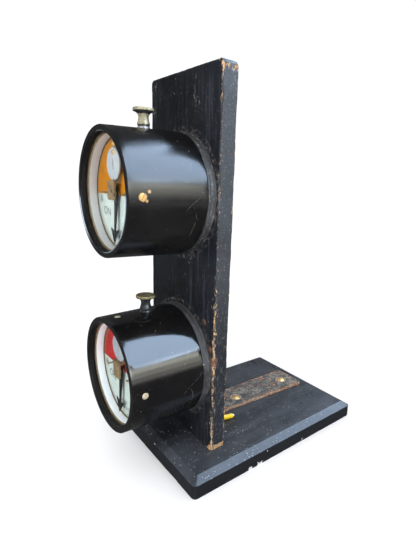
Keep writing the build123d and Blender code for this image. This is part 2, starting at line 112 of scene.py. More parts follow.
# ---------------------------------------------------------------- camera
def make_camera():
    """Right of the dials and a little above them, looking down at the stand."""
    azimuth, pitch, roll = (math.radians(angle) for angle in (49.92, 13.72, 2.65))
    turn = Matrix.Rotation(azimuth, 4, "Z") @ Matrix.Rotation(math.pi / 2 - pitch, 4, "X")
    turn = turn @ Matrix.Rotation(roll, 4, "Z")
    data = bpy.data.cameras.new("camera")
    data.lens = 25.49
    data.shift_x = -0.055
    data.clip_start = 0.01
    camera = linked("camera", data)
    camera.matrix_world = Matrix.Translation((0.3819, -0.3281, 0.3257)) @ turn
    bpy.context.scene.camera = camera


# ---------------------------------------------------------------- materials
class Finish:
    """A material's nodes, added by short calls that return the new node's output."""

    def __init__(self, name):
        self.material = bpy.data.materials.new(name)
        self.material.use_nodes = True
        self.tree = self.material.node_tree
        self.shader = self.tree.nodes["Principled BSDF"]
        self.place = self.add("ShaderNodeTexCoord").outputs["Object"]
        self.colour = None

    def feed(self, socket, value):
        if isinstance(value, bpy.types.NodeSocket):
            self.tree.links.new(value, socket)
        elif value is not None:
            socket.default_value = value

    def add(self, kind, inputs=(), **settings):
        """A new node, its inputs fed by name or, from a list, in order."""
        node = self.tree.nodes.new(kind)
        for name, value in settings.items():
            setattr(node, name, value)
        for socket, value in inputs.items() if isinstance(inputs, dict) else enumerate(inputs):
            self.feed(node.inputs[socket], value)
        return node

    def done(self, roughness, normal, specular=0.5, **others):
        """Feeds the shader's own sockets and gives back the material."""
        values = {"Base Color": self.colour, "Roughness": roughness, "Normal": normal, **others}
        for name, value in {**values, "Specular IOR Level": specular}.items():
            self.feed(self.shader.inputs[name], value)
        return self.material

    def math(self, operation, *values):
        return self.add("ShaderNodeMath", values, operation=operation).outputs[0]

    def times(self, first, second):
        return self.math("MULTIPLY", first, second)

    def plus(self, first, second):
        return self.math("ADD", first, second)

    def minus(self, first, second):
        return self.math("SUBTRACT", first, second)

    def fused(self, first, second, added):
        """first times second, plus added."""
        return self.math("MULTIPLY_ADD", first, second, added)

    def scaled(self, x, y, z):
        """Object coordinates times a scale for each axis."""
        return self.add("ShaderNodeVectorMath", (self.place, (x, y, z)), operation="MULTIPLY").outputs[0]

    def noise(self, scale, detail=3, roughness=0.55, shift=0, source=None):
        inputs = {"Scale": scale, "Detail": detail, "Roughness": roughness, "W": shift}
        inputs["Vector"] = source or self.place
        return self.add("ShaderNodeTexNoise", inputs, noise_dimensions="4D").outputs["Fac"]

    def grain(self, scales, detail, roughness, shift=0):
        """Noise with its own scale along each axis."""
        return self.noise(1, detail, roughness, shift, self.scaled(*scales))

    def step(self, value, low, high, start=0, end=1):
        """Rises smoothly from start to end as value goes from low to high."""
        inputs = (value, low, high, start, end)
        return self.add("ShaderNodeMapRange", inputs, interpolation_type="SMOOTHSTEP").outputs[0]

    def rise(self, value, low, high, start=0, end=1):
        """A step whose low and high are in millimetres."""
        return self.step(value, low * MM, high * MM, start, end)

    def specks(self, cells, size, share, source=None):
        """Sparse round spots: cells per metre, size in cells, and the share of cells that hold one."""
        cell = self.add("ShaderNodeTexVoronoi", {"Scale": cells, "Vector": source or self.place}).outputs
        split = self.add("ShaderNodeSeparateColor", [cell["Color"]]).outputs
        kept = self.math("LESS_THAN", split[0], share)
        limit = self.times(split[1], size)
        return self.times(self.step(self.minus(limit, cell["Distance"]), 0, size * 0.3), kept)

    def mix(self, share, first, second):
        """Colour first where share is 0, second where it is 1."""
        ends = [(*colour, 1) if isinstance(colour, tuple) else colour for colour in (first, second)]
        return self.add("ShaderNodeMix", {0: share, 6: ends[0], 7: ends[1]}, data_type="RGBA").outputs[2]

    def coat(self, share, tone):
        """Lays a tone over the colour so far."""
        self.colour = self.mix(share, self.colour, tone)

    def bump(self, height, distance, strength=1, below=None):
        inputs = {"Strength": strength, "Distance": distance, "Height": height, "Normal": below}
        return self.add("ShaderNodeBump", inputs).outputs[0]

    def attribute(self, name):
        return self.add("ShaderNodeAttribute", attribute_name=name).outputs["Fac"]

    def coordinate(self, axis, origin=0):
        """One object coordinate in metres, measured from origin."""
        return self.minus(self.add("ShaderNodeSeparateXYZ", [self.place]).outputs[axis], origin)

    def radius(self, centre):
        """Distance in metres from an instrument's axis."""
        x, z = self.coordinate("X", centre.x), self.coordinate("Z", centre.z)
        return self.math("SQRT", self.plus(self.times(x, x), self.times(z, z)))

    def distance(self, point):
        return self.add("ShaderNodeVectorMath", (self.place, point), operation="DISTANCE").outputs["Value"]


def base_paint():
    """Satin charcoal paint on planed wood: faint grain along the board, dust and tiny chips, and painted
    shade under the lower case.
    """
    f = Finish("base_paint")
    grain = f.grain((420, 14, 420), 4, 0.6)
    streak = f.grain((75, 6, 75), 3, 0.6, 3)
    cloud = f.noise(22, 4, 0.6)
    mottle = f.noise(420, 3, 0.6, 6)
    wear = f.attribute("wear")
    tone = f.fused(cloud, 0.5, f.times(streak, 0.5))
    f.colour = f.mix(f.step(tone, 0.38, 0.62), (0.032, 0.036, 0.044), (0.062, 0.07, 0.085))
    f.coat(f.step(mottle, 0.5, 0.68, 0, 0.5), (0.06, 0.062, 0.067))
    scuff = f.step(f.grain((170, 28, 170), 5, 0.7, 7), 0.58, 0.72, 0, 0.4)
    f.coat(scuff, (0.085, 0.089, 0.097))
    # Painted shade on the base top in front of the upright, under the lower case, fading out towards the
    # right.
    front = f.rise(f.coordinate("Y", UPRIGHT_BOX[0].y), -20, 60, 0.75, 0)
    front = f.times(front, f.rise(f.coordinate("X"), 8, 40, 1, 0.15))
    f.coat(front, (0.004, 0.0045, 0.0055))
    f.coat(f.specks(430, 0.42, 0.42), (0.2, 0.21, 0.22))
    f.coat(f.specks(250, 0.21, 0.42), (0.36, 0.37, 0.37))
    side = f.rise(f.coordinate("Z"), 15.4, 16.2, 0.88, 0)
    f.coat(side, (0.008, 0.009, 0.011))
    f.coat(f.specks(110, 0.1, 0.12), (0.66, 0.62, 0.46))
    ragged = f.noise(300, 4, 0.7, 9)
    right = BASE_BOX[1].x
    for y, z, size in ((-56.5, 1, 4.5), (-42, 0.5, 6), (32.8, 2.7, 2.2), (-30, 13.2, 1.3)):
        away = f.distance((right, y * MM, z * MM))
        away = f.plus(away, f.times(f.minus(ragged, 0.5), size * 2.6 * MM))
        f.coat(f.rise(away, size * 0.45, size * 0.62, 0.9, 0), (0.62, 0.64, 0.64))
    chipped = f.step(f.plus(wear, f.times(f.noise(260, 3), 1.2)), 1.3, 1.4)
    f.coat(chipped, (0.46, 0.46, 0.44))
    height = f.fused(grain, 0.6, f.times(mottle, 0.4))
    return f.done(f.step(cloud, 0.3, 0.75, 0.27, 0.31), f.bump(height, 0.00025, 0.8), specular=0.2)


def upright_paint():
    """Old black paint on a vertical board, flaked to bare tan wood along its edges, with painted sheen on
    the front towards the right and the right side painted lighter as lit.
    """
    f = Finish("upright_paint")
    grain = f.grain((520, 520, 13), 4, 0.65)
    coarse = f.grain((150, 150, 9), 3, 0.6, 2)
    cloud = f.noise(26, 4, 0.6)
    peel = f.noise(760, 3, 0.6, 3)
    wear = f.attribute("wear")
    side = f.rise(f.coordinate("X", UPRIGHT_BOX[1].x - 1.6 * MM), 0, 0.8)
    low = f.step(f.coordinate("Z", UPRIGHT_BOX[0].z), 0.12, 0.24, 1, 0)
    # Painted sheen: the front face turns lighter and bluer towards its right edge, and its grain ridges
    # there are painted as bluish highlights.
    sheen_rightward = f.rise(f.coordinate("X", UPRIGHT_BOX[1].x), -75, -8)
    face = f.mix(f.step(cloud, 0.4, 0.65), (0.0035, 0.004, 0.005), (0.0075, 0.0083, 0.0105))
    face = f.mix(f.times(sheen_rightward, 0.5), face, (0.011, 0.014, 0.021))
    ridge_sheen = f.times(f.step(grain, 0.54, 0.66), f.fused(sheen_rightward, 0.45, 0.35))
    face = f.mix(ridge_sheen, face, (0.04, 0.046, 0.058))
    # The right side face is painted lighter and bluer than the front face, as lit; its lighter mottles are
    # painted highlights on the peeling paint, and it is darker towards the bottom.
    flank_lit = f.mix(f.step(cloud, 0.35, 0.65), (0.022, 0.025, 0.031), (0.032, 0.036, 0.044))
    flank_lit = f.mix(f.step(peel, 0.5, 0.66, 0, 0.7), flank_lit, (0.064, 0.071, 0.083))
    flank_lit = f.mix(f.times(low, 0.75), flank_lit, (0.009, 0.011, 0.015))
    crack = f.step(f.grain((430, 430, 120), 5, 0.75, 8), 0.53, 0.63, 0, 0.7)
    flank_lit = f.mix(f.times(crack, low), flank_lit, (0.1, 0.11, 0.13))
    f.colour = f.mix(side, face, flank_lit)
    scratch = f.grain((430, 430, 60), 6, 0.7, 5)
    scratched = f.plus(scratch, f.times(wear, 0.16))
    scratched = f.plus(scratched, f.times(low, 0.03))
    f.coat(f.step(scratched, 0.68, 0.73, 0, 0.8), (0.34, 0.33, 0.3))
    for level in LEVELS:
        ring = f.minus(f.radius(AXIS[level]), 68.5 * MM)
        near = f.rise(f.math("ABSOLUTE", ring), 1.5, 5.5, 1, 0)
        smear = f.step(f.noise(260, 5, 0.7, 9), 0.5, 0.62)
        front = f.rise(f.coordinate("Y", FACE_Y + MM), 0, 1, 1, 0)
        share = f.times(f.times(near, smear), f.times(front, 0.6))
        f.coat(share, (0.15, 0.14, 0.13))
    flake = f.grain((520, 520, 200), 5, 0.75, 11)
    flake = f.fused(f.noise(34, 2, 0.5, 12), 0.55, flake)
    f.coat(f.step(flake, 0.945, 0.985, 0, 0.85), (0.36, 0.37, 0.38))
    f.coat(f.specks(420, 0.27, 0.32), (0.17, 0.18, 0.19))
    f.coat(f.specks(260, 0.16, 0.14, f.scaled(1, 1, 0.5)), (0.44, 0.43, 0.41))
    for x, z, size in ((46.5, 174, 2.2), (58.8, 145, 3.6), (61.5, 131, 4.6), (63, 117, 3.4)):
        away = f.distance((x * MM, FACE_Y, z * MM))
        away = f.fused(f.minus(flake, 0.77), 26 * MM, away)
        f.coat(f.rise(away, size - 1.2, size, 0.85, 0), (0.17, 0.08, 0.045))
    wood_grain = f.grain((900, 900, 120), 4, 0.6, 1)
    wood = f.mix(f.step(wood_grain, 0.38, 0.62), (0.3, 0.16, 0.065), (0.66, 0.44, 0.24))
    pale = f.step(f.noise(420, 3, 0.65, 13), 0.46, 0.6, 0, 0.5)
    pale = f.times(pale, f.rise(f.coordinate("Z", UPRIGHT_BOX[0].z), 5, 9))
    wood = f.mix(f.times(pale, low), wood, (0.5, 0.46, 0.38))
    wood = f.mix(f.step(f.noise(560, 4, 0.7, 4), 0.5, 0.58, 0, 0.95), wood, (0.045, 0.036, 0.03))
    ragged = f.grain((330, 330, 150), 6, 0.78, 6)
    bare = f.step(f.plus(wear, f.times(ragged, 3.4)), 2.3, 2.4)
    f.coat(bare, wood)
    rough = f.step(cloud, 0.3, 0.7, 0.38, 0.55)
    rough = f.math("MAXIMUM", rough, f.times(bare, 0.85))
    height = f.fused(grain, 0.5, f.times(coarse, 0.3))
    height = f.plus(height, f.times(f.times(peel, side), 0.8))
    height = f.plus(height, f.times(f.times(crack, low), 0.6))
    below = f.bump(f.minus(1, bare), 0.00035, 0.9)
    return f.done(rough, f.bump(height, 0.0006, 0.8, below), specular=0.3)


def rusted_iron():
    """Remains of grey-green paint on pitted iron, rust in spots and along the edges."""
    f = Finish("rusted_iron")
    blotch = f.grain((210, 120, 210), 6, 0.75)
    fine = f.noise(650, 4, 0.65, 2)
    tone = f.noise(150, 5, 0.7, 5)
    wide = f.grain((70, 42, 70), 4, 0.65, 11)
    wear = f.attribute("wear")
    rust = f.mix(f.step(fine, 0.42, 0.6), (0.16, 0.07, 0.04), (0.5, 0.27, 0.16))
    rust = f.mix(f.step(tone, 0.47, 0.58, 0, 0.8), rust, (0.4, 0.33, 0.25))
    dark = f.step(f.grain((300, 420, 300), 4, 0.7, 14), 0.54, 0.62, 0, 0.9)
    rust = f.mix(dark, rust, (0.055, 0.048, 0.042))
    f.colour = f.mix(f.step(fine, 0.4, 0.62), (0.03, 0.031, 0.029), (0.125, 0.122, 0.108))
    pale = f.fused(wide, 0.8, f.grain((330, 200, 330), 5, 0.75, 8))
    f.coat(f.step(pale, 0.88, 1.04, 0, 0.8), (0.28, 0.27, 0.225))
    f.coat(f.step(wide, 0.44, 0.36, 0, 0.6), (0.03, 0.031, 0.031))
    spots = f.step(f.noise(190, 6, 0.72, 15), 0.56, 0.6, 0, 0.9)
    f.coat(spots, (0.36, 0.17, 0.085))
    eaten = f.plus(f.times(wear, 0.2), blotch)
    bare = f.step(eaten, 0.585, 0.62)
    f.coat(bare, rust)
    for hole in bracket_hole_places()[:2]:
        away = f.plus(f.distance(hole.translation), f.times(fine, 1.2 * MM))
        ring = f.times(f.rise(away, 6.4, 7), f.rise(away, 8.2, 9.4, 1, 0))
        f.coat(f.times(ring, 0.75), (0.42, 0.33, 0.25))
        # Painted shade in the countersink round each strap screw's head.
        f.coat(f.rise(away, 6.2, 6.8, 0.9, 0), (0.02, 0.016, 0.013))
    f.coat(f.specks(260, 0.2, 0.2), (0.52, 0.49, 0.43))
    below = f.bump(f.minus(1, bare), 0.0004, 0.8)
    rough = f.step(bare, 0, 1, 0.62, 0.88)
    return f.done(rough, f.bump(fine, 0.0006, 0.8, below), specular=0.18)


def case_enamel(level):
    """Glossy black enamel with rubbed patches, hairline scratches and chips at the side screw."""
    f = Finish(f"{level}_case_enamel")
    centre = AXIS[level]
    cloud = f.noise(17, 4, 0.6, centre.z)
    hair = f.grain((60, 1900, 60), 3, 0.7, 4)
    haze = f.grain((90, 32, 90), 5, 0.65, 6)
    f.colour = f.mix(f.step(cloud, 0.4, 0.7), (0.0045, 0.0045, 0.005), (0.01, 0.0095, 0.009))
    f.coat(f.specks(300, 0.13, 0.16), (0.34, 0.34, 0.32))
    f.coat(f.specks(480, 0.2, 0.14), (0.16, 0.16, 0.155))
    inside = f.rise(f.radius(centre), 56.9, 57.5, 1, 0)
    low, high = {"upper": (0.19, 0.3), "lower": (0.1, 0.21)}[level]
    rough = f.math("MAXIMUM", f.step(haze, 0.4, 0.75, low, high), f.times(inside, 0.75))
    along = f.coordinate("Y", FACE_Y)
    rough = f.math("MINIMUM", rough, f.rise(along, 0.3 - RIM, 1.2 - RIM, 0.11, 1))
    height = f.coordinate("Z", centre.z)
    scratches = ((-19, 0.55, 7, -14, 22), (-33, -0.4, -5, -40, -8), (-52, 0.9, 3, 18, 34))
    for start, slope, bow, bottom, top in scratches:
        z = f.times(height, 1 / MM)
        curve = f.fused(z, slope, start)
        curve = f.plus(curve, f.times(f.math("SINE", f.times(z, 0.11)), bow))
        gap = f.math("ABSOLUTE", f.minus(f.times(along, 1 / MM), curve))
        line = f.step(gap, 0.06, 0.22, 1, 0)
        line = f.times(line, f.step(z, bottom, bottom + 3))
        line = f.times(line, f.step(z, top - 3, top, 1, 0))
        broken = f.step(f.noise(240, 2, 0.5, start), 0.4, 0.55, 0, 0.75)
        f.coat(f.times(line, broken), (0.17, 0.16, 0.145))
    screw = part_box(f"{level}_cover_screws")
    side = Vector((screw[1].x, (screw[0].y + screw[1].y) / 2, centre.z))
    worn = {"upper": ((0, 0, 0, 4.1), (0, 6.3, 4.9, 1.6), (0, 4, -3.4, 1.5)), "lower": ((0, 0, 0, 3.5),)}
    ragged = f.times(f.minus(f.noise(620, 3), 0.5), 2.4 * MM)
    for x, y, z, size in worn[level]:
        away = f.plus(f.distance(side + Vector((x, y, z)) * MM), ragged)
        chip = f.rise(away, size - 0.25, size, 1, 0)
        f.coat(chip, (0.42, 0.25, 0.12))
    edge = f.attribute("wear")
    rubbed = f.step(f.plus(edge, f.times(f.noise(300, 4), 0.9)), 1.16, 1.26, 0, 0.6)
    f.coat(rubbed, (0.16, 0.12, 0.08))
    return f.done(rough, f.bump(hair, 0.00002, 0.35), specular={"upper": 0.42, "lower": 0.5}[level])


def block_paint(level):
    """Matte dark grey block with smears of dust and old paint round its joint."""
    f = Finish(f"{level}_block_paint")
    share = {"upper": 0.7, "lower": 0.25}[level]
    smear = f.grain((150, 420, 150), 5, 0.7, 3)
    cloud = f.noise(45, 4)
    f.colour = f.mix(f.step(cloud, 0.35, 0.7), (0.018, 0.018, 0.02), (0.05, 0.05, 0.055))
    f.coat(f.step(smear, 0.52, 0.68, 0, share), (0.24, 0.23, 0.21))
    f.coat(f.specks(240, 0.2, 0.3), (0.45, 0.4, 0.33))
    height = f.fused(smear, 0.6, f.times(f.noise(900, 3), 0.4))
    return f.done(f.step(cloud, 0.3, 0.7, 0.5, 0.75), f.bump(height, 0.0004, 0.7))


def metal(name, light, dark, grime, rough, grimy=0.5, metallic=0.6, scale=220):
    """Turned or cut metal: two tones, grime in patches, fine tool marks."""
    f = Finish(name)
    tone = f.noise(scale, 4, 0.6)
    patch = f.noise(scale * 0.55, 5, 0.68, 3)
    fine = f.grain((2600, 2600, 500), 3, 0.6, 1)
    f.colour = f.mix(f.step(tone, 0.35, 0.68), dark, light)
    dirty = f.step(patch, 0.6 - 0.2 * grimy, 0.74 - 0.14 * grimy, 0, min(1, 0.5 + grimy))
    f.coat(dirty, grime)
    polished = f.step(tone, 0.3, 0.7, rough, rough + 0.18)
    normal = f.bump(f.fused(fine, 0.4, patch), 0.00008, 0.5)
    return f.done(f.fused(dirty, 0.22, polished), normal, Metallic=metallic)


def reflector_white(level):
    """Aged white enamel on the ring between glass and dial, with a tan line at both edges; its tone is
    painted for the light in each case.
    """
    f = Finish(f"{level}_reflector_white")
    # Lit and shaded copies of one white: painted darker in the upper case, lighter and bluer in the lower
    # one.
    tones = {"upper": ((0.47, 0.49, 0.5), (0.56, 0.58, 0.59)),
             "lower": ((0.84, 0.92, 0.98), (0.93, 0.97, 1))}
    cloud = f.noise(30, 4, 0.6)
    streak = f.grain((120, 30, 120), 4, 0.6, 2)
    f.colour = f.mix(f.step(cloud, 0.3, 0.7), *tones[level])
    f.coat(f.step(streak, 0.55, 0.75, 0, 0.35), (0.5, 0.48, 0.41))
    along = f.coordinate("Y", FACE_Y)
    front = f.rise(along, -RING_FRONT + 0.5, -RING_FRONT + 0.9, 1, 0)
    rear = f.rise(along, -RING_REAR - 0.9, -RING_REAR - 0.5)
    f.coat(f.math("MAXIMUM", front, rear), (0.26, 0.2, 0.11))
    return f.done(f.step(streak, 0.3, 0.7, 0.28, 0.5), f.bump(cloud, 0.0001, 0.4))


def dial_print(level):
    """Printed dial: a coloured upper half over pale greenish white, with painted shade at its rim."""
    f = Finish(f"{level}_dial_print")
    centre = AXIS[level]
    split = {"upper": -2, "lower": 0}[level] * MM
    above = f.rise(f.coordinate("Z", centre.z + split), -0.08, 0.08)
    cloud = f.noise(40, 4, 0.6, centre.z)
    spots = f.noise(700, 3, 0.6, 2)
    white = f.mix(f.step(cloud, 0.35, 0.7), (0.41, 0.49, 0.46), (0.49, 0.57, 0.53))
    white = f.mix(f.step(spots, 0.66, 0.74, 0, 0.35), white, (0.3, 0.28, 0.2))
    # A dark irregular spot on the white, left of the middle and just below the colour line.
    dark_spot_away = f.distance(on_board(level) @ (Vector((-45.5, -7, DIAL_FRONT)) * MM))
    marks = f.plus(dark_spot_away, f.times(f.noise(800, 3, 0.7, 7), 26 * MM))
    white = f.mix(f.rise(marks, 16, 17.5, 0.75, 0), white, (0.09, 0.09, 0.085))
    tones = {"upper": ((0.42, 0.15, 0), (0.52, 0.2, 0)),
             "lower": ((0.3, 0.01, 0.01), (0.4, 0.016, 0.015))}
    half = f.mix(f.step(cloud, 0.35, 0.7), *tones[level])
    f.colour = f.mix(above, white, half)
    away = f.radius(centre)
    # Painted shade at the rim: a dark line where the dial meets the ring, and a browning towards the rim
    # that is soiling together with painted shade.
    rim = f.rise(f.plus(away, f.times(spots, 0.5 * MM)), 54.9, 55.3)
    f.coat(rim, (0.035, 0.028, 0.02))
    soil_and_shade = f.rise(f.plus(away, f.times(cloud, 9 * MM)), 52, 60, 0, 0.5)
    f.coat(soil_and_shade, (0.2, 0.15, 0.08))
    return f.done(f.step(cloud, 0.3, 0.7, 0.55, 0.7), f.bump(spots, 0.00003, 0.4), specular=0.15)


def plain(name, low, high, rough, bump_size, bump_depth, scale=160, specular=0.5):
    """Painted, moulded or soft surface in two close tones, with a fine surface texture."""
    f = Finish(name)
    tone = f.noise(scale, 4, 0.6)
    fine = f.noise(bump_size, 3, 0.6, 2)
    f.colour = f.mix(f.step(tone, 0.35, 0.68), low, high)
    normal = f.bump(fine, bump_depth, 0.6)
    return f.done(f.step(tone, 0.3, 0.7, rough, rough + 0.15), normal, specular=specular)


def winding():
    """Fine silk-covered wire wound in close turns round the coils' axes."""
    f = Finish("winding")
    turns = f.math("SINE", f.times(f.coordinate("Y"), 2 * math.pi / (0.55 * MM)))
    tone = f.noise(260, 4)
    f.colour = f.mix(f.step(tone, 0.35, 0.7), (0.035, 0.085, 0.045), (0.075, 0.16, 0.085))
    f.coat(f.step(turns, -0.9, -0.3, 0.7, 0), (0.012, 0.02, 0.012))
    return f.done(f.step(tone, 0.3, 0.7, 0.5, 0.7), f.bump(turns, 0.00018, 0.9))


def window_glass():
    """Clear flat glass, a little smudged."""
    f = Finish("window_glass")
    smudge = f.noise(28, 5, 0.65)
    f.colour = (0.05, 0.06, 0.06, 1)
    return f.done(f.step(smudge, 0.35, 0.75, 0.03, 0.18), f.bump(smudge, 0.00001, 0.3), Alpha=0.03)


def yellow_sheath():
    """Matte yellow lead, slightly soiled."""
    f = Finish("yellow_sheath")
    soil = f.noise(190, 5, 0.65)
    fine = f.noise(1400, 2, 0.5, 2)
    f.colour = f.mix(f.step(soil, 0.3, 0.55), (0.96, 0.55, 0.003), (1, 0.68, 0.006))
    f.coat(f.step(soil, 0.64, 0.78, 0, 0.4), (0.52, 0.32, 0.03))
    return f.done(f.step(soil, 0.3, 0.7, 0.42, 0.6), f.bump(fine, 0.00006, 0.5), specular=0.2)


# Light tone, dark tone, grime, roughness, share of grime, metallic, scale of the patches
METALS = {
    "brass": ((0.66, 0.46, 0.2), (0.46, 0.3, 0.12), (0.12, 0.08, 0.04), 0.3, 0.35),
    "bright_brass": ((0.86, 0.62, 0.28), (0.66, 0.44, 0.17), (0.22, 0.13, 0.06), 0.3, 0.2, 0.5),
    "strap_brass": ((0.66, 0.43, 0.16), (0.5, 0.31, 0.1), (0.2, 0.11, 0.045), 0.42, 0.35, 0.5),
    "brown_brass": ((0.36, 0.27, 0.14), (0.24, 0.17, 0.085), (0.1, 0.07, 0.04), 0.45, 0.5, 0.4),
    "pale_nickel": ((0.46, 0.42, 0.29), (0.3, 0.27, 0.18), (0.11, 0.1, 0.065), 0.36, 0.4, 0.45),
    "nickel": ((0.72, 0.66, 0.48), (0.5, 0.45, 0.31), (0.15, 0.14, 0.095), 0.36, 0.35, 0.45),
    "bronze": ((0.42, 0.35, 0.2), (0.26, 0.21, 0.12), (0.07, 0.06, 0.05), 0.34, 0.5, 0.7),
    "dark_bronze": ((0.13, 0.135, 0.14), (0.055, 0.06, 0.065), (0.03, 0.03, 0.03), 0.24, 0.5, 0.8),
    "steel": ((0.56, 0.56, 0.56), (0.36, 0.36, 0.37), (0.12, 0.1, 0.08), 0.32, 0.3, 0.7),
    "soft_iron": ((0.16, 0.16, 0.17), (0.08, 0.08, 0.09), (0.07, 0.045, 0.03), 0.45, 0.4, 0.8),
}
# Two tones, roughness, scale and depth of the bump, scale of the tones, specular
PLAIN = {
    "pointer_black": ((0.006, 0.006, 0.007), (0.014, 0.014, 0.015), 0.42, 1500, 0.00004),
    # The white discs are painted grey as shaded, the lower one darker still where it lies in the bridge's
    # shadow.
    "upper_disc_white": ((0.33, 0.37, 0.39), (0.39, 0.43, 0.45), 0.5, 900, 0.00002, 60, 0.15),
    "lower_disc_white": ((0.24, 0.27, 0.3), (0.29, 0.32, 0.35), 0.5, 900, 0.00002, 60, 0.15),
    "inlay_grey": ((0.16, 0.14, 0.12), (0.27, 0.24, 0.2), 0.5, 900, 0.00005, 500),
    "ink": ((0.02, 0.022, 0.024), (0.06, 0.062, 0.06), 0.55, 1500, 0.00002, 900),
    "gasket_cork": ((0.17, 0.125, 0.07), (0.34, 0.27, 0.17), 0.75, 1400, 0.0001, 700),
    "core_white": ((0.72, 0.71, 0.66), (0.82, 0.81, 0.77), 0.45, 1500, 0.00004, 500),
    "bobbin_black": ((0.01, 0.009, 0.009), (0.022, 0.019, 0.018), 0.35, 900, 0.00004),
}
FINISHES = {name: metal(name, *values) for name, values in METALS.items()}
FINISHES.update((name, plain(name, *values)) for name, values in PLAIN.items())
for make in (base_paint, upright_paint, rusted_iron, window_glass, yellow_sheath, winding):
    FINISHES[make.__name__] = make()


# ---------------------------------------------------------------- mesh tools
def linked(name, data):
    """A new object in the scene."""
    thing = bpy.data.objects.new(name, data)
    bpy.context.scene.collection.objects.link(thing)
    return thing


def final_mesh(thing):
    """A mesh of what the object's modifiers or text make."""
    bpy.context.view_layer.update()
    return bpy.data.meshes.new_from_object(thing.evaluated_get(bpy.context.evaluated_depsgraph_get()))


def finish_mesh(vertices, faces, smooth_below=SHARP):
    """A mesh in metres with outward normals, smooth except across sharp angles."""
    mesh = bpy.data.meshes.new("mesh")
    mesh.from_pydata(vertices, [], faces)
    shell = bmesh.new()
    shell.from_mesh(mesh)
    bmesh.ops.recalc_face_normals(shell, faces=shell.faces)
    shell.to_mesh(mesh)
    shell.free()
    mesh.polygons.foreach_set("use_smooth", [True] * len(mesh.polygons))
    mesh.set_sharp_from_angle(angle=math.radians(smooth_below))
    mesh.update()
    return mesh


def moved(mesh, matrix):
    mesh.transform(matrix)
    return mesh


def joined(meshes):
    """One mesh from several."""
    whole = bmesh.new()
    for mesh in meshes:
        whole.from_mesh(mesh)
    result = bpy.data.meshes.new("mesh")
    whole.to_mesh(result)
    whole.free()
    for mesh in meshes:
        bpy.data.meshes.remove(mesh)
    return result


def spread(mesh, matrices):
    """Copies of a mesh at several places, as one mesh."""
    copies = [moved(mesh.copy(), matrix) for matrix in matrices]
    bpy.data.meshes.remove(mesh)
    return joined(copies)


def place_piece(name, mesh, finish, node, body="root"):
    """Adds the mesh as a piece that rides on a body and stands for a CAD node, if one is named."""
    piece = linked(name, mesh)
    mesh.name = name
    if not mesh.materials:
        mesh.materials.append(FINISHES[finish] if isinstance(finish, str) else finish)
    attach(piece, body)
    if node:
        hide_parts(node)
    return piece


def fit(level, name, mesh, finish, node, body=None, places=(Matrix(),)):
    """Adds an instrument's piece, built on the instrument's own axes, at one or more places."""
    places = [on_board(level) @ place for place in places]
    mesh = spread(mesh, places) if len(places) > 1 else moved(mesh, places[0])
    node = node and f"{level}_{node}"
    return place_piece(f"{level}_{name}", mesh, finish, node, f"{level}_{body}" if body else "root")


def carve(piece, cutters):
    """Cuts closed meshes out of a piece for good."""
    tool = linked("cutter", joined(cutters))
    cut = piece.modifiers.new("cut", "BOOLEAN")
    cut.object = tool
    cut.solver = "EXACT"
    mesh = final_mesh(piece)
    piece.modifiers.clear()
    piece.data = mesh
    bpy.data.objects.remove(tool)
    mesh.set_sharp_from_angle(angle=math.radians(SHARP))


def holes(outline, segments, places):
    """Cutters of one turned shape at several places."""
    return [moved(lathe(outline, segments), place) for place in places]


def soften(outline, radius, steps=3):
    """Rounds the corners of a closed (radius, height) outline that stand off the axis."""
    result = []
    for index, (r, h) in enumerate(outline):
        if r < 1e-6:
            result.append((r, h))
            continue
        corner = Vector((r, h))
        ends = []
        for other in (outline[index - 1], outline[(index + 1) % len(outline)]):
            arm = Vector(other) - corner
            ends.append(corner + arm.normalized() * min(radius, arm.length * 0.45))
        for step in range(steps + 1):
            t = step / steps
            point = ends[0] * (1 - t) ** 2 + corner * 2 * t * (1 - t) + ends[1] * t**2
            result.append((point.x, point.y))
    return result


def lathe(outline, segments=160, shape=None):
    """Closed solid of revolution about Z from an outline in millimetres."""
    vertices, rings, faces = [], [], []
    for r, h in outline:
        ring = []
        for step in range(1 if r < 1e-6 else segments):
            angle = 2 * math.pi * step / segments
            reach = shape(angle, r, h) if shape else r
            ring.append(len(vertices))
            vertices.append((reach * math.cos(angle) * MM, reach * math.sin(angle) * MM, h * MM))
        rings.append(ring)
    for ring, following in zip(rings, rings[1:] + rings[:1]):
        for step in range(segments):
            after = (step + 1) % segments
            quad = [ring[step % len(ring)], ring[after % len(ring)],
                    following[after % len(following)], following[step % len(following)]]
            face = list(dict.fromkeys(quad))
            if len(face) > 2:
                faces.append(face)
    return finish_mesh(vertices, faces)


def rectangle(low_x, high_x, low_y, high_y):
    return [(low_x, low_y), (high_x, low_y), (high_x, high_y), (low_x, high_y)]


def slab(outline, low, high, bevel=0):
    """Flat piece from an outline in millimetres, with its edges bevelled."""
    count = len(outline)
    vertices = [(x * MM, y * MM, z * MM) for z in (low, high) for x, y in outline]
    faces = [list(range(count)), list(range(count, 2 * count))]
    faces += [[i, (i + 1) % count, count + (i + 1) % count, count + i] for i in range(count)]
    mesh = finish_mesh(vertices, faces)
    if bevel:
        body = bmesh.new()
        body.from_mesh(mesh)
        sharp = [edge for edge in body.edges if edge.calc_face_angle(0) > 0.5]
        bmesh.ops.bevel(body, geom=sharp, offset=bevel * MM, segments=2, profile=0.6, affect="EDGES")
        body.to_mesh(mesh)
        body.free()
        mesh.set_sharp_from_angle(angle=math.radians(SHARP))
    return mesh


def arc(radius, start, end, steps, centre=(0, 0)):
    """Points on an arc, angles in degrees."""
    angles = [math.radians(start + (end - start) * step / steps) for step in range(steps + 1)]
    return [(centre[0] + radius * math.cos(angle), centre[1] + radius * math.sin(angle)) for angle in angles]


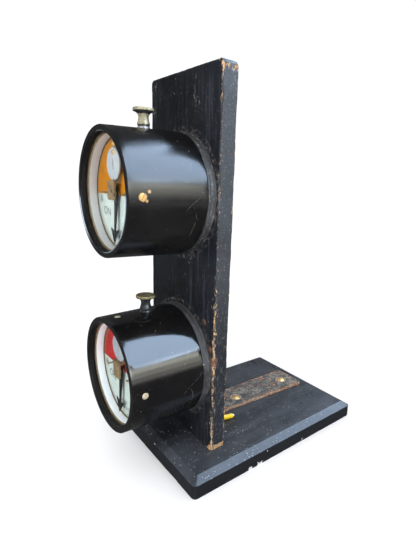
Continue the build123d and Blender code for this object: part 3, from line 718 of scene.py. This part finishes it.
def grid_lines(low, high, edge, middle):
    """Lines from low to high: the edge offsets at both ends and about middle apart between."""
    inner_low, inner_high = low + edge[-1], high - edge[-1]
    cells = max(1, round((inner_high - inner_low) / middle))
    between = [inner_low + (inner_high - inner_low) * step / cells for step in range(1, cells)]
    return [low + offset for offset in edge] + between + [high - offset for offset in reversed(edge)]


def box_shell(*lines):
    """Vertices and faces of a box's surface on three sets of grid lines."""
    last = [len(line) - 1 for line in lines]
    index, vertices, faces = {}, [], []

    def corner(*spot):
        if spot not in index:
            index[spot] = len(vertices)
            vertices.append(Vector([line[number] for line, number in zip(lines, spot)]))
        return index[spot]

    for axis in range(3):
        first, second = (axis + 1) % 3, (axis + 2) % 3
        for end in (0, last[axis]):
            for a in range(last[first]):
                for b in range(last[second]):
                    face = []
                    for da, db in ((0, 0), (1, 0), (1, 1), (0, 1)):
                        spot = [0, 0, 0]
                        spot[axis], spot[first], spot[second] = end, a + da, b + db
                        face.append(corner(*spot))
                    faces.append(face)
    return vertices, faces


def round_box(point, low, high, radius):
    """A box's surface point moved onto the box with rounded edges, its edge share and the way out."""
    inner = Vector([min(max(p, a + radius), b - radius) for p, a, b in zip(point, low, high)])
    away = point - inner
    edge = sorted(abs(part) for part in away)[1] / radius
    return inner + away.normalized() * radius, edge, away.normalized()


def rounded_arm(arm):
    """Shortens an arm from a corner's centre to a square so that its end is on the round corner."""
    if arm.length > 1e-6:
        arm *= max(abs(arm.x), abs(arm.y)) / arm.length
    return arm


def rough(point, scales, start=None):
    """Smooth noise at a point in millimetres, with its own scale along each axis."""
    scaled = Vector([part / scale for part, scale in zip(point, scales)])
    return noise.noise(scaled + Vector(start) if start else scaled)


def store(mesh, values):
    """Keeps one number for each vertex as the attribute that the finishes read."""
    layer = mesh.attributes.new("wear", "FLOAT", "POINT")
    layer.data.foreach_set("value", values)


# ---------------------------------------------------------------- stand
def make_upright():
    """The upright board, its edges rounded, dented and split by wear."""
    low, high = (corner / MM for corner in UPRIGHT_BOX)
    top_corner, edge_round, deepest, worn_height = 5.5, 2.2, -1.9, 200
    edge = (0, 0.7, 1.4, 2.2, 3.2, 4.6, 6.5)
    points, faces = box_shell(grid_lines(low.x, high.x, edge, 2.6), grid_lines(low.y, high.y, edge, 2.2),
                              grid_lines(low.z, high.z, edge, 2))
    vertices, wear = [], []
    for point in points:
        spot, edge_share, outward = round_box(point, low - Vector((0, 0, 3)), high, edge_round)
        inner_x = min(max(spot.x, low.x + top_corner), high.x - top_corner)
        over = Vector((spot.x - inner_x, spot.z - (high.z - top_corner)))
        if over.y > 0:
            over = rounded_arm(over)
            spot.x, spot.z = inner_x + over.x, high.z - top_corner + over.y
        dent = rough(spot, (7, 7, 26)) * 1.3 + rough(spot, (2.6, 2.6, 8), (9, 4, 2)) * 0.7
        dent = max(0, dent + 0.1) * edge_share
        near_x = min(spot.x - low.x, high.x - spot.x)
        near_y = min(spot.y - low.y, high.y - spot.y)
        near_z = min(spot.z - low.z, high.z - spot.z)
        near_edge = math.exp(-(min(near_x + near_y, near_y + near_z, near_x + near_z)) / 2.6)
        right = math.exp(-(high.x - spot.x) / 4)
        front_edge = right * math.exp(-(spot.y - low.y) / 4)
        lower = min(1, max(0, (low.z + worn_height - spot.z) / 30))
        heavy = front_edge * (0.3 + 0.34 * lower)
        back_edge = right * math.exp(-(high.y - spot.y) / 2.5)
        worn_top = right * math.exp(-(high.z - spot.z - 6) ** 2 / 12)
        foot = right * (1 if spot.z < low.z + 4.7 else 0)
        gap = 0.1 * rough(spot, (4, 4, 60), (3, 3, 3))
        settle = -0.9 * dent * (1 + heavy) - abs(gap) * (1 - edge_share)
        vertices.append((spot + outward * max(settle, deepest)) * MM)
        patchy = 0.34 * rough(spot, (9, 9, 30), (7, 1, 5))
        worn = near_edge * (0.3 + patchy) + heavy + 0.62 * back_edge
        wear.append(worn + 0.12 * dent + 0.6 * worn_top + foot)
    mesh = finish_mesh(vertices, faces, 60)
    store(mesh, wear)
    piece = place_piece("upright_board_worn", mesh, "upright_paint", "upright_board")
    bore = [(0, -40), (2.6, -40), (2.6, 5), (0, 5)]
    places = [on_board(level) @ shift(x, 0, 0) for level in LEVELS for x in (-STUD_X, STUD_X)]
    carve(piece, holes(bore, 24, places))


def make_base():
    """The base board with its bevelled top edge, slightly uneven along the arrises."""
    low, high = (corner / MM for corner in BASE_BOX)
    bevel_wide, bevel_high, corner_r, blend = 9, 5, 5, 0.0016
    edge = (0, 0.6, 1.3, 2.2, 3.4, 4.9, 6.5, 7.9, 8.6, 9.3, 10.2, 12)
    points, faces = box_shell(grid_lines(low.x, high.x, edge, 3.4), grid_lines(low.y, high.y, edge, 3.4),
                              grid_lines(low.z, high.z, (0, 0.5, 1.1), 3))
    centre = Vector((0, 0, (low.z + high.z) / 2))
    vertices, wear = [], []
    for point in points:
        inner_x = min(max(point.x, low.x + corner_r), high.x - corner_r)
        inner_y = min(max(point.y, low.y + corner_r), high.y - corner_r)
        away = rounded_arm(Vector((point.x - inner_x, point.y - inner_y)))
        inset = min(point.x - low.x, high.x - point.x, point.y - low.y, high.y - point.y)
        share = (bevel_wide - inset) / bevel_wide
        drop = bevel_high * (share + math.sqrt(share * share + blend)) / 2
        z = low.z + (point.z - low.z) * (high.z - drop - low.z) / (high.z - low.z)
        spot = Vector((inner_x + away.x, inner_y + away.y, z))
        arris = math.exp(-((inset / 1.2) ** 2)) * (math.exp(-abs(z - high.z + bevel_high) / 0.9))
        foot = math.exp(-inset / 1) * math.exp(-(z - low.z) / 0.9)
        nick = max(0, noise.noise(spot / 7 + Vector((2, 2, 2))) - 0.22) * (arris + foot)
        vertices.append((spot + (centre - spot).normalized() * (0.3 * arris + 0.7 * nick)) * MM)
        wear.append(0.22 * arris + 0.3 * foot + 1.6 * nick)
    mesh = finish_mesh(vertices, faces, 50)
    store(mesh, wear)
    piece = place_piece("base_board_painted", mesh, "base_paint", "base_board")
    bore = [(0, -3), (5.2, -3), (5.2, 0.5), (2.45, 3.3), (2.45, 25), (0, 25)]
    carve(piece, holes(bore, 32, [Matrix.Translation((x, y, 0)) for x, y, z in foot_screw_places()]))


# The iron's outer bend, and how far its middle runs round that bend
BEND_R = 6
BEND_RUN = BEND_R * math.pi / 2 * 0.66


def strap_point(across, up, along):
    """A point of the bent iron: along runs from the strap's far end, round the heel, up the leg."""
    low, high = (corner / MM for corner in STRAP_BOX)
    leg_right = 10.5
    flat = high.y - low.y - BEND_R
    narrow, wide = leg_right - low.x, high.x - low.x
    x = low.x + across * (narrow + (wide - narrow) * max(0, 1 - along / (flat + BEND_R)))
    if along <= flat:
        return Vector((x, high.y - along, low.z + up))
    if along <= flat + BEND_RUN:
        angle = (along - flat) / BEND_RUN * math.pi / 2
        reach = BEND_R - up
        back, drop = reach * math.sin(angle), reach * math.cos(angle)
        return Vector((x, low.y + BEND_R - back, low.z + BEND_R - drop))
    return Vector((x, low.y + up, low.z + BEND_R + along - flat - BEND_RUN))


def make_bracket():
    """The iron angle: strap and leg in one bent bar, pitted, with countersunk holes."""
    low, high = (corner / MM for corner in STRAP_BOX)
    width, thick, corner_r, edge_round = 50, 4, 3, 0.9
    length = high.y - low.y - BEND_R + BEND_RUN + high.z - low.z - BEND_R
    edge = (0, 0.5, 1.1, 2, 3.2)
    points, faces = box_shell(grid_lines(0, width, edge, 1.6), [0, 0.5, 1.1, 2, 2.9, 3.5, thick],
                              grid_lines(0, length, edge, 1.6))
    box_high = Vector((width, thick, length))
    vertices, wear = [], []
    for point in points:
        spot, _, outward = round_box(point, Vector((0, 0, 0)), box_high, edge_round)
        inner = Vector((min(max(spot.x, corner_r), width - corner_r),
                        min(max(spot.z, corner_r), length - corner_r)))
        a, c = inner + rounded_arm(Vector((spot.x, spot.z)) - inner)
        on_face = Vector((a, spot.y, c))
        pit = max(0, noise.noise(on_face / 3.1)) * 0.28
        pit += max(0, noise.noise(on_face / 9 + Vector((5, 5, 5)))) * 0.35
        b = min(max(spot.y - outward.y * pit, 0), thick)
        a -= outward.x * pit * 1.6
        vertices.append(strap_point(a / width, b, c - outward.z * pit) * MM)
        wear.append(math.exp(-min(a, width - a, c, length - c) / 3) + pit)
    mesh = finish_mesh(vertices, faces, 50)
    store(mesh, wear)
    piece = place_piece("angle_bracket_rusted", mesh, "rusted_iron", "angle_bracket")
    bore = [(0, -8), (2.35, -8), (2.35, -4.05), (6.5, 0.1), (6.5, 3), (0, 3)]
    carve(piece, holes(bore, 40, bracket_hole_places()))


def screw_mesh(shank, head, length, slot_width, slot_depth, dome=0, sunk=False):
    """A slotted screw whose head's edge is at Z 0: countersunk, domed, or both."""
    if dome:
        top = [(0, dome), (0.35 * head, dome * 0.94), (0.7 * head, dome * 0.62), (0.93 * head, dome * 0.25)]
        flat = [(head, dome * 0.12), (head * 0.98, 0), (shank, 0)]
        top += [(head, 0), (shank, shank - head)] if sunk else flat
    else:
        top = [(0, 0.12), (0.5 * head, 0.09), (0.9 * head, 0), (head, -0.15)]
        top.append((shank, -(head - shank) - 0.15))
    body = linked("screw", lathe(top + [(shank, shank - length), (0, -length)], 48))
    half = slot_width / 2
    carve(body, [slab(rectangle(-head - 1, head + 1, -half, half), dome - slot_depth, dome + 1)])
    mesh = body.data
    bpy.data.objects.remove(body)
    return mesh


def make_stand_screws():
    screw = screw_mesh(2.25, 5.6, 15, 1.2, 1.2, 1.4, True)
    places = [place @ turned_by(angle) @ shift(0, 0, -0.7)
              for place, angle in zip(bracket_hole_places(), (35, 105, 20, 75))]
    place_piece("bracket_screws_brass", spread(screw, places), "strap_brass", "bracket_screws")
    screw = screw_mesh(2.35, 4.9, 45.8, 1.2, 1.3)
    down = Matrix.Rotation(math.pi, 4, "X")
    places = [Matrix.Translation(place) @ down @ turned_by(angle)
              for place, angle in zip(foot_screw_places(), (15, 80))]
    place_piece("foot_screws_steel", spread(screw, places), "steel", "foot_screws")


# ---------------------------------------------------------------- the cut lead
LEAD_R = 3
LEAD_ROUTE = (
    (19, -63, 61),
    (19, -63, 48.8),
    (20.7, -58.6, 37.4),
    (23.7, -50.5, 28.8),
    (26.4, -40.6, 24.1),
    (27.6, -30, 24.1),
)


def make_lead():
    """The cut yellow lead and the white wire in its end."""
    curve = bpy.data.curves.new("yellow_lead_curve", "CURVE")
    curve.dimensions = "3D"
    curve.bevel_depth = LEAD_R * MM
    curve.bevel_resolution = 8
    curve.resolution_u = 24
    curve.use_fill_caps = True
    line = curve.splines.new("NURBS")
    line.points.add(len(LEAD_ROUTE) - 1)
    for point, place in zip(line.points, LEAD_ROUTE):
        point.co = (*(Vector(place) * MM), 1)
    line.order_u = 3
    line.use_endpoint_u = True
    curve.materials.append(FINISHES["yellow_sheath"])
    lead = linked("yellow_lead_sheath", curve)
    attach(lead, "root")
    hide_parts("yellow_lead")
    end = Vector(LEAD_ROUTE[-1])
    heading = (end - Vector(LEAD_ROUTE[-2])).normalized()
    turn = heading.to_track_quat("Z", "Y").to_matrix().to_4x4()
    outline = [(0, -0.4), (1.6, -0.4), (1.6, 2.2), (1.35, 2.8), (0.7, 3), (0, 2.9)]
    stub = moved(lathe(soften(outline, 0.25), 40), Matrix.Translation(end * MM) @ turn)
    core = place_piece("lead_core_wire", stub, "core_white", "lead_core")


# ---------------------------------------------------------------- instruments
def make_cover(level):
    """The black case: drawn cup, bevelled rim, sharp window edge, bored for its screws."""
    bore_r, rear_r, front_r, rim_inner_r, cell = 61, 65.6, 63.5, 57.5, 5
    outline = [(bore_r, REAR), (rear_r, REAR), (front_r, RIM), (rim_inner_r, RIM)]
    outline = soften(outline + [(WINDOW_R, SEAT), (bore_r, SEAT)], 0.8, 4)
    whole = []
    for before, after in zip(outline, outline[1:] + outline[:1]):
        cells = max(1, round(math.dist(before, after) / cell))
        for step in range(cells):
            t = step / cells
            whole.append((before[0] + (after[0] - before[0]) * t, before[1] + (after[1] - before[1]) * t))
    mesh = lathe(whole, 240)
    arrises = ((65.4, REAR + 0.2), (63.2, RIM - 0.2))
    wear = []
    for vertex in mesh.vertices:
        spot = (math.hypot(vertex.co.x, vertex.co.y) / MM, vertex.co.z / MM)
        wear.append(0.8 * max(math.exp(-math.dist(spot, arris) / 0.5) for arris in arrises))
    store(mesh, wear)
    piece = fit(level, "case_shell", mesh, case_enamel(level), "cover", "case")
    inside, outside = 55, 70
    bore = [(0, inside), (1.55, inside), (1.55, 62.2), (3.45, 64.15), (3.45, outside), (0, outside)]
    places = [on_board(level) @ radial(angle, COVER_SCREW_DEPTH) for angle in (0, 90, 180, 270)]
    cutters = holes(bore, 32, places)
    bore = [(0, inside), (4.7, inside), (4.7, 63), (6.45, 63), (6.45, outside), (0, outside)]
    carve(piece, cutters + holes(bore, 48, [on_board(level) @ radial(90, THUMB_DEPTH)]))


def make_cover_fittings(level):
    head_at = 64.05
    turns = {"upper": (62, 20, 110, 45), "lower": (38, 95, 10, 70)}[level]
    places = [radial(90 * number, COVER_SCREW_DEPTH) @ shift(0, 0, head_at) @ turned_by(turn)
              for number, turn in enumerate(turns)]
    metals = {"upper": ("strap_brass", "steel"), "lower": ("nickel", "dark_bronze")}[level]
    screw = screw_mesh(1.45, 3.3, 6.6, 0.85, 0.8)
    fit(level, "cover_screws_slotted", screw, metals[0], "cover_screws", "case", places)
    dome = [(2.55, 60), (4.6, 60), (4.6, 63), (6.4, 63), (6.4, 65.6), (6.1, 66.2), (5.2, 66.6), (2.55, 66.6)]
    bush = lathe(soften(dome, 0.5), 96)
    fit(level, "thumbscrew_bush", bush, metals[1], "screw_bush", "case", [radial(90, THUMB_DEPTH)])
    ring = lathe(soften(rectangle(WINDOW_R, INSERT_R, RING_REAR, RING_FRONT), 0.35), 240)
    fit(level, "reflector", ring, reflector_white(level), "reflector_ring", "case")
    packing = lathe(rectangle(WINDOW_R + 0.2, INSERT_R, RING_FRONT, GLASS_REAR), 240)
    fit(level, "cork_gasket", packing, "gasket_cork", "glass_gasket", "case")
    low, high = GLASS_REAR + 0.02, SEAT - 0.02
    pane = lathe(soften([(0, low), (INSERT_R, low), (INSERT_R, high), (0, high)], 0.2), 200)
    fit(level, "window", pane, "window_glass", "glass", "case")


def make_thumbscrew(level):
    """Knurled head on a flared stem that narrows to a waist above its collar."""
    tip, top = ((corner.z - AXIS[level].z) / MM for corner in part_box(f"{level}_thumbscrew"))
    foot, head_low = top - 17.1, top - 3.4
    stem = [(5.9, 0), (5.9, 1), (6.5, 1.3), (6.6, 1.8), (6.2, 3.2), (5.5, 5.6), (5.1, 8), (5.3, 9.8),
            (6.1, 11.5), (7.5, 12.8)]
    outline = [(0, tip), (1.8, tip), (2.5, tip + 0.8), (2.5, foot)] + [(r, foot + h) for r, h in stem]
    outline += [(9.6, head_low), (10.2, head_low + 0.2), (10.6, head_low + 0.7)]
    crown = [(10.6, 0.6), (10.2, 0.1), (9.6, 0), (9, 0.05), (8.2, 0.35), (5, 0.6), (0, 0.7)]
    outline += [(r, top - sunk) for r, sunk in crown]
    teeth, knurl_from, knurl_deep = 40, 10.5, 0.4

    def knurl(angle, r, h):
        return r - (knurl_deep * (0.5 + 0.5 * math.cos(teeth * angle)) ** 0.7 if r > knurl_from else 0)

    mesh = lathe(outline, teeth * 6, knurl)
    # Finishes for the stem, for the painted shade in the bands above the collar and under the head, and for
    # the head.
    bands = {"upper": ("pale_nickel", "dark_bronze", "pale_nickel"),
             "lower": ("dark_bronze", "dark_bronze", "bronze")}
    for band in bands[level]:
        mesh.materials.append(FINISHES[band])
    for face in mesh.polygons:
        height = face.center.z / MM
        dark = height < foot + 1.2 or head_low - 2.4 < height < head_low + 0.5
        face.material_index = 1 if dark else 2 if height > head_low + 0.5 else 0
    fit(level, "thumbscrew_knurled", mesh, "pale_nickel", "thumbscrew", "thumbscrew",
        [radial(90, THUMB_DEPTH)])


def make_block(level):
    """Turned block: a thicker foot on the board, a fine step, and the spigot in the case."""
    outline = [(0, 0), (66.9, 0), (66.9, 2), (66.2, 2.2), (66.2, 6.6), (65.6, 6.9), (65.6, 9),
               (60.7, 9), (60.7, 16), (0, 16)]
    uneven_from = 64

    def uneven(angle, r, h):
        if r < uneven_from:
            return r
        return r + 0.18 * noise.noise(Vector((math.cos(angle) * 9, math.sin(angle) * 9, h / 2))) - 0.1

    mesh = lathe(soften(outline, 0.5, 2), 240, uneven)
    fit(level, "block_turned", mesh, block_paint(level), "mounting_block")


def make_dial(level):
    mesh = lathe(soften(rectangle(3, 57.4, DIAL_REAR, DIAL_FRONT), 0.2, 2), 200)
    fit(level, "dial_face", mesh, dial_print(level), "dial")
    y, tilt = {"upper": (-19.9, 5), "lower": (-18, 10)}[level]
    marks = letter_row("ON", -29.9, y, -tilt, 9.4) + letter_row("OFF", 30.2, y, tilt, 8)
    fit(level, "dial_lettering", joined(marks + arc_word("WRONG", 45.5, 4.2, 8.2)), "ink", None)


def letter(character, size, x, y, tilt):
    """One printed character as a thin raised mesh on the dial."""
    curve = bpy.data.curves.new("letter", "FONT")
    curve.body = character
    curve.size = size * 1.36 * MM
    curve.extrude = 0.015 * MM
    curve.align_x = "CENTER"
    curve.align_y = "CENTER"
    text = linked("letter", curve)
    mesh = final_mesh(text)
    bpy.data.objects.remove(text)
    middle = sum((vertex.co for vertex in mesh.vertices), Vector()) / len(mesh.vertices)
    moved(mesh, Matrix.Translation((-middle.x, 0, 0)))
    return moved(mesh, Matrix.Translation(Vector((x, y, DIAL_FRONT + 0.02)) * MM) @ turned_by(tilt))


def letter_row(word, x, y, tilt, pitch, size=8.6):
    slant = math.radians(tilt)
    offsets = [(number - (len(word) - 1) / 2) * pitch for number in range(len(word))]
    return [letter(character, size, x + offset * math.cos(slant), y + offset * math.sin(slant), tilt)
            for character, offset in zip(word, offsets)]


def arc_word(word, radius, size, pitch_degrees):
    """A word round the bottom of the dial."""
    rows = []
    for number, character in enumerate(word):
        angle = 270 + (number - (len(word) - 1) / 2) * pitch_degrees
        x, y = (radius * part for part in (math.cos(math.radians(angle)), math.sin(math.radians(angle))))
        rows.append(letter(character, size, x, y, angle - 270))
    return rows


def make_needle(level):
    """Black arrow whose blade leans forward of its hub."""
    low, high = span(f"{level}_needle")
    hub_r, bend, tip, thick = 4.5, -3, -50.2, 1
    lean = (high - low - thick) / (bend - tip)
    right = [(hub_r, bend), (1.5, -38), (9.5, -35), (8.6, -37), (0, tip)]
    left = [(-x, y) for x, y in reversed(right[:-1])]
    mesh = slab(arc(hub_r, 180, 0, 16, (0, 3.5)) + right + left, low, low + thick, 0.18)
    for vertex in mesh.vertices:
        vertex.co.z += max(0, bend * MM - vertex.co.y) * lean
    fit(level, "needle_arrow", mesh, "pointer_black", "needle", "pointer")


def make_bridge(level):
    """Cranked strap: front plate, leg back to the dial, foot turned up."""
    front, foot_front, half = span(f"{level}_bridge")[1], DIAL_FRONT + BRIDGE_T, 7.9
    plate_top, foot_top, corner_r, corner_y, bevel = 12.4, 20.4, 3, -3.6, 0.3
    plate = [(-half, plate_top)] + arc(corner_r, 180, 270, 6, (-half + corner_r, corner_y))
    plate += arc(corner_r, 270, 360, 6, (half - corner_r, corner_y)) + [(half, plate_top)]
    leg_front = front - BRIDGE_T + 0.4
    profile = [(DIAL_FRONT, plate_top - BRIDGE_T), (leg_front, plate_top - BRIDGE_T), (leg_front, plate_top),
               (foot_front, plate_top), (foot_front, foot_top), (DIAL_FRONT, foot_top)]
    sideways = Matrix(((0, 0, 1), (0, 1, 0), (1, 0, 0))).to_4x4()
    leg = moved(slab(profile, -half, half, bevel), sideways)
    mesh = joined([slab(plate, front - BRIDGE_T, front, bevel), leg])
    mesh.set_sharp_from_angle(angle=math.radians(SHARP))
    fit(level, "bridge_strap", mesh, "brown_brass", "bridge")


def make_disc(level):
    low, high = span(f"{level}_index_disc")
    middle = (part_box(f"{level}_index_disc")[1].z - AXIS[level].z) / MM - DISC_R
    notch = [(-0.9, middle - 14.2), (0, middle - 13.8), (0.9, middle - 14.2)]
    mesh = slab(arc(DISC_R, -85.5, 265.5, 96, (0, middle)) + notch, low, high, 0.15)
    fit(level, "disc_plate", mesh, f"{level}_disc_white", "index_disc")
    inlay = rectangle(-0.75, 0.75, middle - 5.2, middle + 5.2)
    fit(level, "disc_inlay", slab(inlay, high - 0.2, high + 0.04), "inlay_grey", None)


def make_small_screws(level):
    strip_face, disc_face = span(f"{level}_index_disc")
    places = [shift(0, 39.4, disc_face) @ turned_by(35), shift(0, 47, strip_face) @ turned_by(80)]
    screw = screw_mesh(1.15, 2.6, 2.4, 0.7, 0.8, 1.5)
    fit(level, "disc_screws_domed", screw, "bright_brass", "disc_screws", places=places)
    places = [shift(x, 16.4, DIAL_FRONT + BRIDGE_T) @ turned_by(x * 11) for x in (-4.5, 4.5)]
    screw = screw_mesh(1.15, 2, 5.6, 0.5, 0.6, 1.2)
    fit(level, "bridge_screws_domed", screw, "bright_brass", "bridge_screws", places=places)
    pin = lathe([(0, DIAL_REAR), (1, DIAL_REAR), (1, 80.6), (0.6, 81.15), (0, 81.2)], 32)
    places = [shift(x, 0, 0) for x in (-25.3, 25.3)]
    fit(level, "stop_pins_turned", pin, "brown_brass", "stop_pins", places=places)


def make_terminals(level):
    """Threaded studs with nuts, a washer and a knurled wire nut behind the board."""
    back = span("upright_board")[0]
    rear, front = span(f"{level}_terminals")
    apothem, hex_r, bore_r, thread_r, pitch = 4.6 * math.cos(math.pi / 6), 4.62, 2.4, 2.48, 0.8
    washer_front, washer_rear = back, back - 1.2

    def hexagon(angle, r, h):
        return min(r, apothem / math.cos((angle % (math.pi / 3)) - math.pi / 6))

    def knurl(angle, r, h):
        return r - (0.3 * (0.5 + 0.5 * math.cos(30 * angle)) if r > 5 else 0)

    def nut(low, high):
        side = [(hex_r, low + 0.5), (hex_r, high - 0.5)]
        return lathe([(bore_r, low), (3.9, low)] + side + [(3.9, high), (bore_r, high)], 72, hexagon)

    thread = [(0, rear), (2, rear)]
    for turn in range(int((back - rear - 0.6) / pitch)):
        thread += [(thread_r, rear + 0.4 + turn * pitch), (2.15, rear + 0.8 + turn * pitch)]
    stud = thread + [(thread_r, back), (thread_r, front - 0.5), (2, front), (0, front)]
    made = []
    for x in (-STUD_X, STUD_X):
        parts = [lathe(stud, 48), nut(18.5, 22.5), nut(washer_rear - 4, washer_rear),
                 lathe(soften(rectangle(bore_r, 6, washer_rear, washer_front), 0.3), 64),
                 lathe(soften(rectangle(bore_r, 5.2, back - 11, back - 6), 0.5), 180, knurl)]
        made += [moved(part, shift(x, 0, 0)) for part in parts]
    mesh = joined(made)
    mesh.set_sharp_from_angle(angle=math.radians(SHARP))
    fit(level, "terminal_studs", mesh, "brass", "terminals")


def make_coils(level):
    """Black bobbins with slightly swollen windings between their flanges."""
    low, high = span(f"{level}_coils")
    coil_x, flange_t = 24, 1.5
    wire = [(5.4, low + flange_t), (12.9, low + flange_t), (13.15, low + 8), (13.2, (low + high) / 2),
            (13.1, high - 8), (12.9, high - flange_t), (5.4, high - flange_t)]
    wound, reels = [], []
    for x in (-coil_x, coil_x):
        wound.append(moved(lathe(wire, 96), shift(x, 0, 0)))
        for start in (low, high - flange_t):
            flange = soften(rectangle(5.2, 14, start, start + flange_t), 0.3)
            reels.append(moved(lathe(flange, 96), shift(x, 0, 0)))
    fit(level, "coil_windings", joined(wound), "winding", "coils")
    fit(level, "coil_flanges", joined(reels), "bobbin_black", None)


def finish_cad_nodes():
    """Procedural finishes for the CAD nodes that stay."""
    kept = {"block_screws": "steel", "backplate": "brass", "pillars": "brass", "screw_lug": "brass",
            "magnet_yoke": "soft_iron", "armature": "steel", "arbor": "bright_brass",
            "disc_hanger": "brown_brass"}
    pairs = [(f"{level}_{name}", finish) for level in LEVELS for name, finish in kept.items()]
    for name, finish in pairs + [("cable_elbow", "bronze")]:
        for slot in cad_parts[name].material_slots:
            slot.material = FINISHES[finish]


# ---------------------------------------------------------------- studio
def add_light(name, place, target, size, power, colour=(1, 1, 1), diffuse=True, glossy=True, beam=180):
    data = bpy.data.lights.new(name, "AREA")
    data.shape = "RECTANGLE"
    data.size, data.size_y = size
    data.energy = power
    data.color = colour
    data.spread = math.radians(beam)
    light = linked(name, data)
    turn = (Vector(target) - Vector(place)).to_track_quat("-Z", "Y")
    light.matrix_world = Matrix.Translation(place) @ turn.to_matrix().to_4x4()
    light.visible_camera = False
    light.visible_diffuse = diffuse
    light.visible_glossy = glossy


def add_card(name, azimuth, elevation, size, radiance, colour, far=4, target=(0, 0, 0.2), beam=180):
    """A glowing card seen only in reflections; azimuth is measured from +Y towards +X, size in degrees."""
    turn, lift = math.radians(azimuth), math.radians(elevation)
    away = Vector((math.sin(turn) * math.cos(lift), math.cos(turn) * math.cos(lift), math.sin(lift))) * far
    wide, high = (2 * far * math.tan(math.radians(span / 2)) for span in size)
    half = math.radians(beam / 2)
    power = radiance * math.pi * wide * high * (1 - half / math.tan(half))
    add_light(name, away + Vector(target), target, (wide, high), power, colour, diffuse=False, beam=beam)


# Name, azimuth, elevation, width and height in degrees, radiance, colour, distance
CARDS = (
    ("sky", 27, 49, (82, 44), 13, (0.56, 0.74, 1)),
    ("sky_foot", 58, 24.5, (60, 5), 4.6, (0.86, 0.96, 1)),
    ("cream_streak", 75, 17, (32, 8), 7, (1, 1, 0.87)),
    ("grey_streak", 73, 8, (34, 9), 3.6, (1, 1, 0.88)),
    ("horizon", 62, 0, (56, 6), 1.6, (1, 0.97, 0.88)),
    ("ground_glow", 62, -6, (60, 8), 0.7, (1, 0.97, 0.93), 0.9),
    ("camera_side", 150, 24, (110, 44), 0.7, (1, 0.98, 0.94)),
    ("left_sky", -108, 40, (56, 34), 0.2, (0.8, 0.92, 1)),
)


def make_studio():
    reach = 30
    floor = bpy.data.meshes.new("floor")
    floor.from_pydata([(x, y, 0) for x, y in rectangle(-reach, reach, -reach, reach)], [], [(0, 1, 2, 3)])
    f = Finish("floor_pale")
    f.colour = f.mix(f.noise(6), (0.93, 0.93, 0.93), (0.95, 0.95, 0.95))
    f.done(0.9, None, specular=0)
    floor.materials.append(f.material)
    ground = linked("floor", floor)
    ground.visible_glossy = False
    world = bpy.data.worlds.new("studio")
    world.use_nodes = True
    tree = world.node_tree
    shade = tree.nodes["Background"]
    shade.inputs["Color"].default_value = (0.97, 0.98, 1, 1)
    path = tree.nodes.new("ShaderNodeLightPath")
    seen = tree.nodes.new("ShaderNodeMapRange")
    seen.inputs["To Min"].default_value = 1.1
    seen.inputs["To Max"].default_value = 0.1
    tree.links.new(path.outputs["Is Glossy Ray"], seen.inputs["Value"])
    tree.links.new(seen.outputs["Result"], shade.inputs["Strength"])
    bpy.context.scene.world = world
    add_light("front", (0.5, -1.9, 0.6), (0, -0.1, 0.22), (1.2, 1.2), 26, glossy=False)
    add_light("right", (1.6, -0.2, 0.8), (0, 0, 0.2), (0.8, 0.8), 10, (0.92, 0.96, 1))
    for card in CARDS:
        add_card(*card)
    rim = (AXIS_X - 0.0531, FACE_Y - 0.0916, AXIS["upper"].z - 0.026)
    add_card("rim_glow", -108.2, -5.3, (9, 7), 6, (0.7, 0.86, 1), far=1.1, target=rim, beam=40)
    bpy.context.scene.view_settings.view_transform = "Standard"


# ---------------------------------------------------------------- assembly
make_camera()
make_lead()
make_upright()
make_base()
make_bracket()
make_stand_screws()
for name in LEVELS:
    for make in (make_block, make_cover, make_cover_fittings, make_thumbscrew, make_dial, make_needle,
                 make_bridge, make_disc, make_small_screws, make_terminals, make_coils):
        make(name)
finish_cad_nodes()
make_studio()
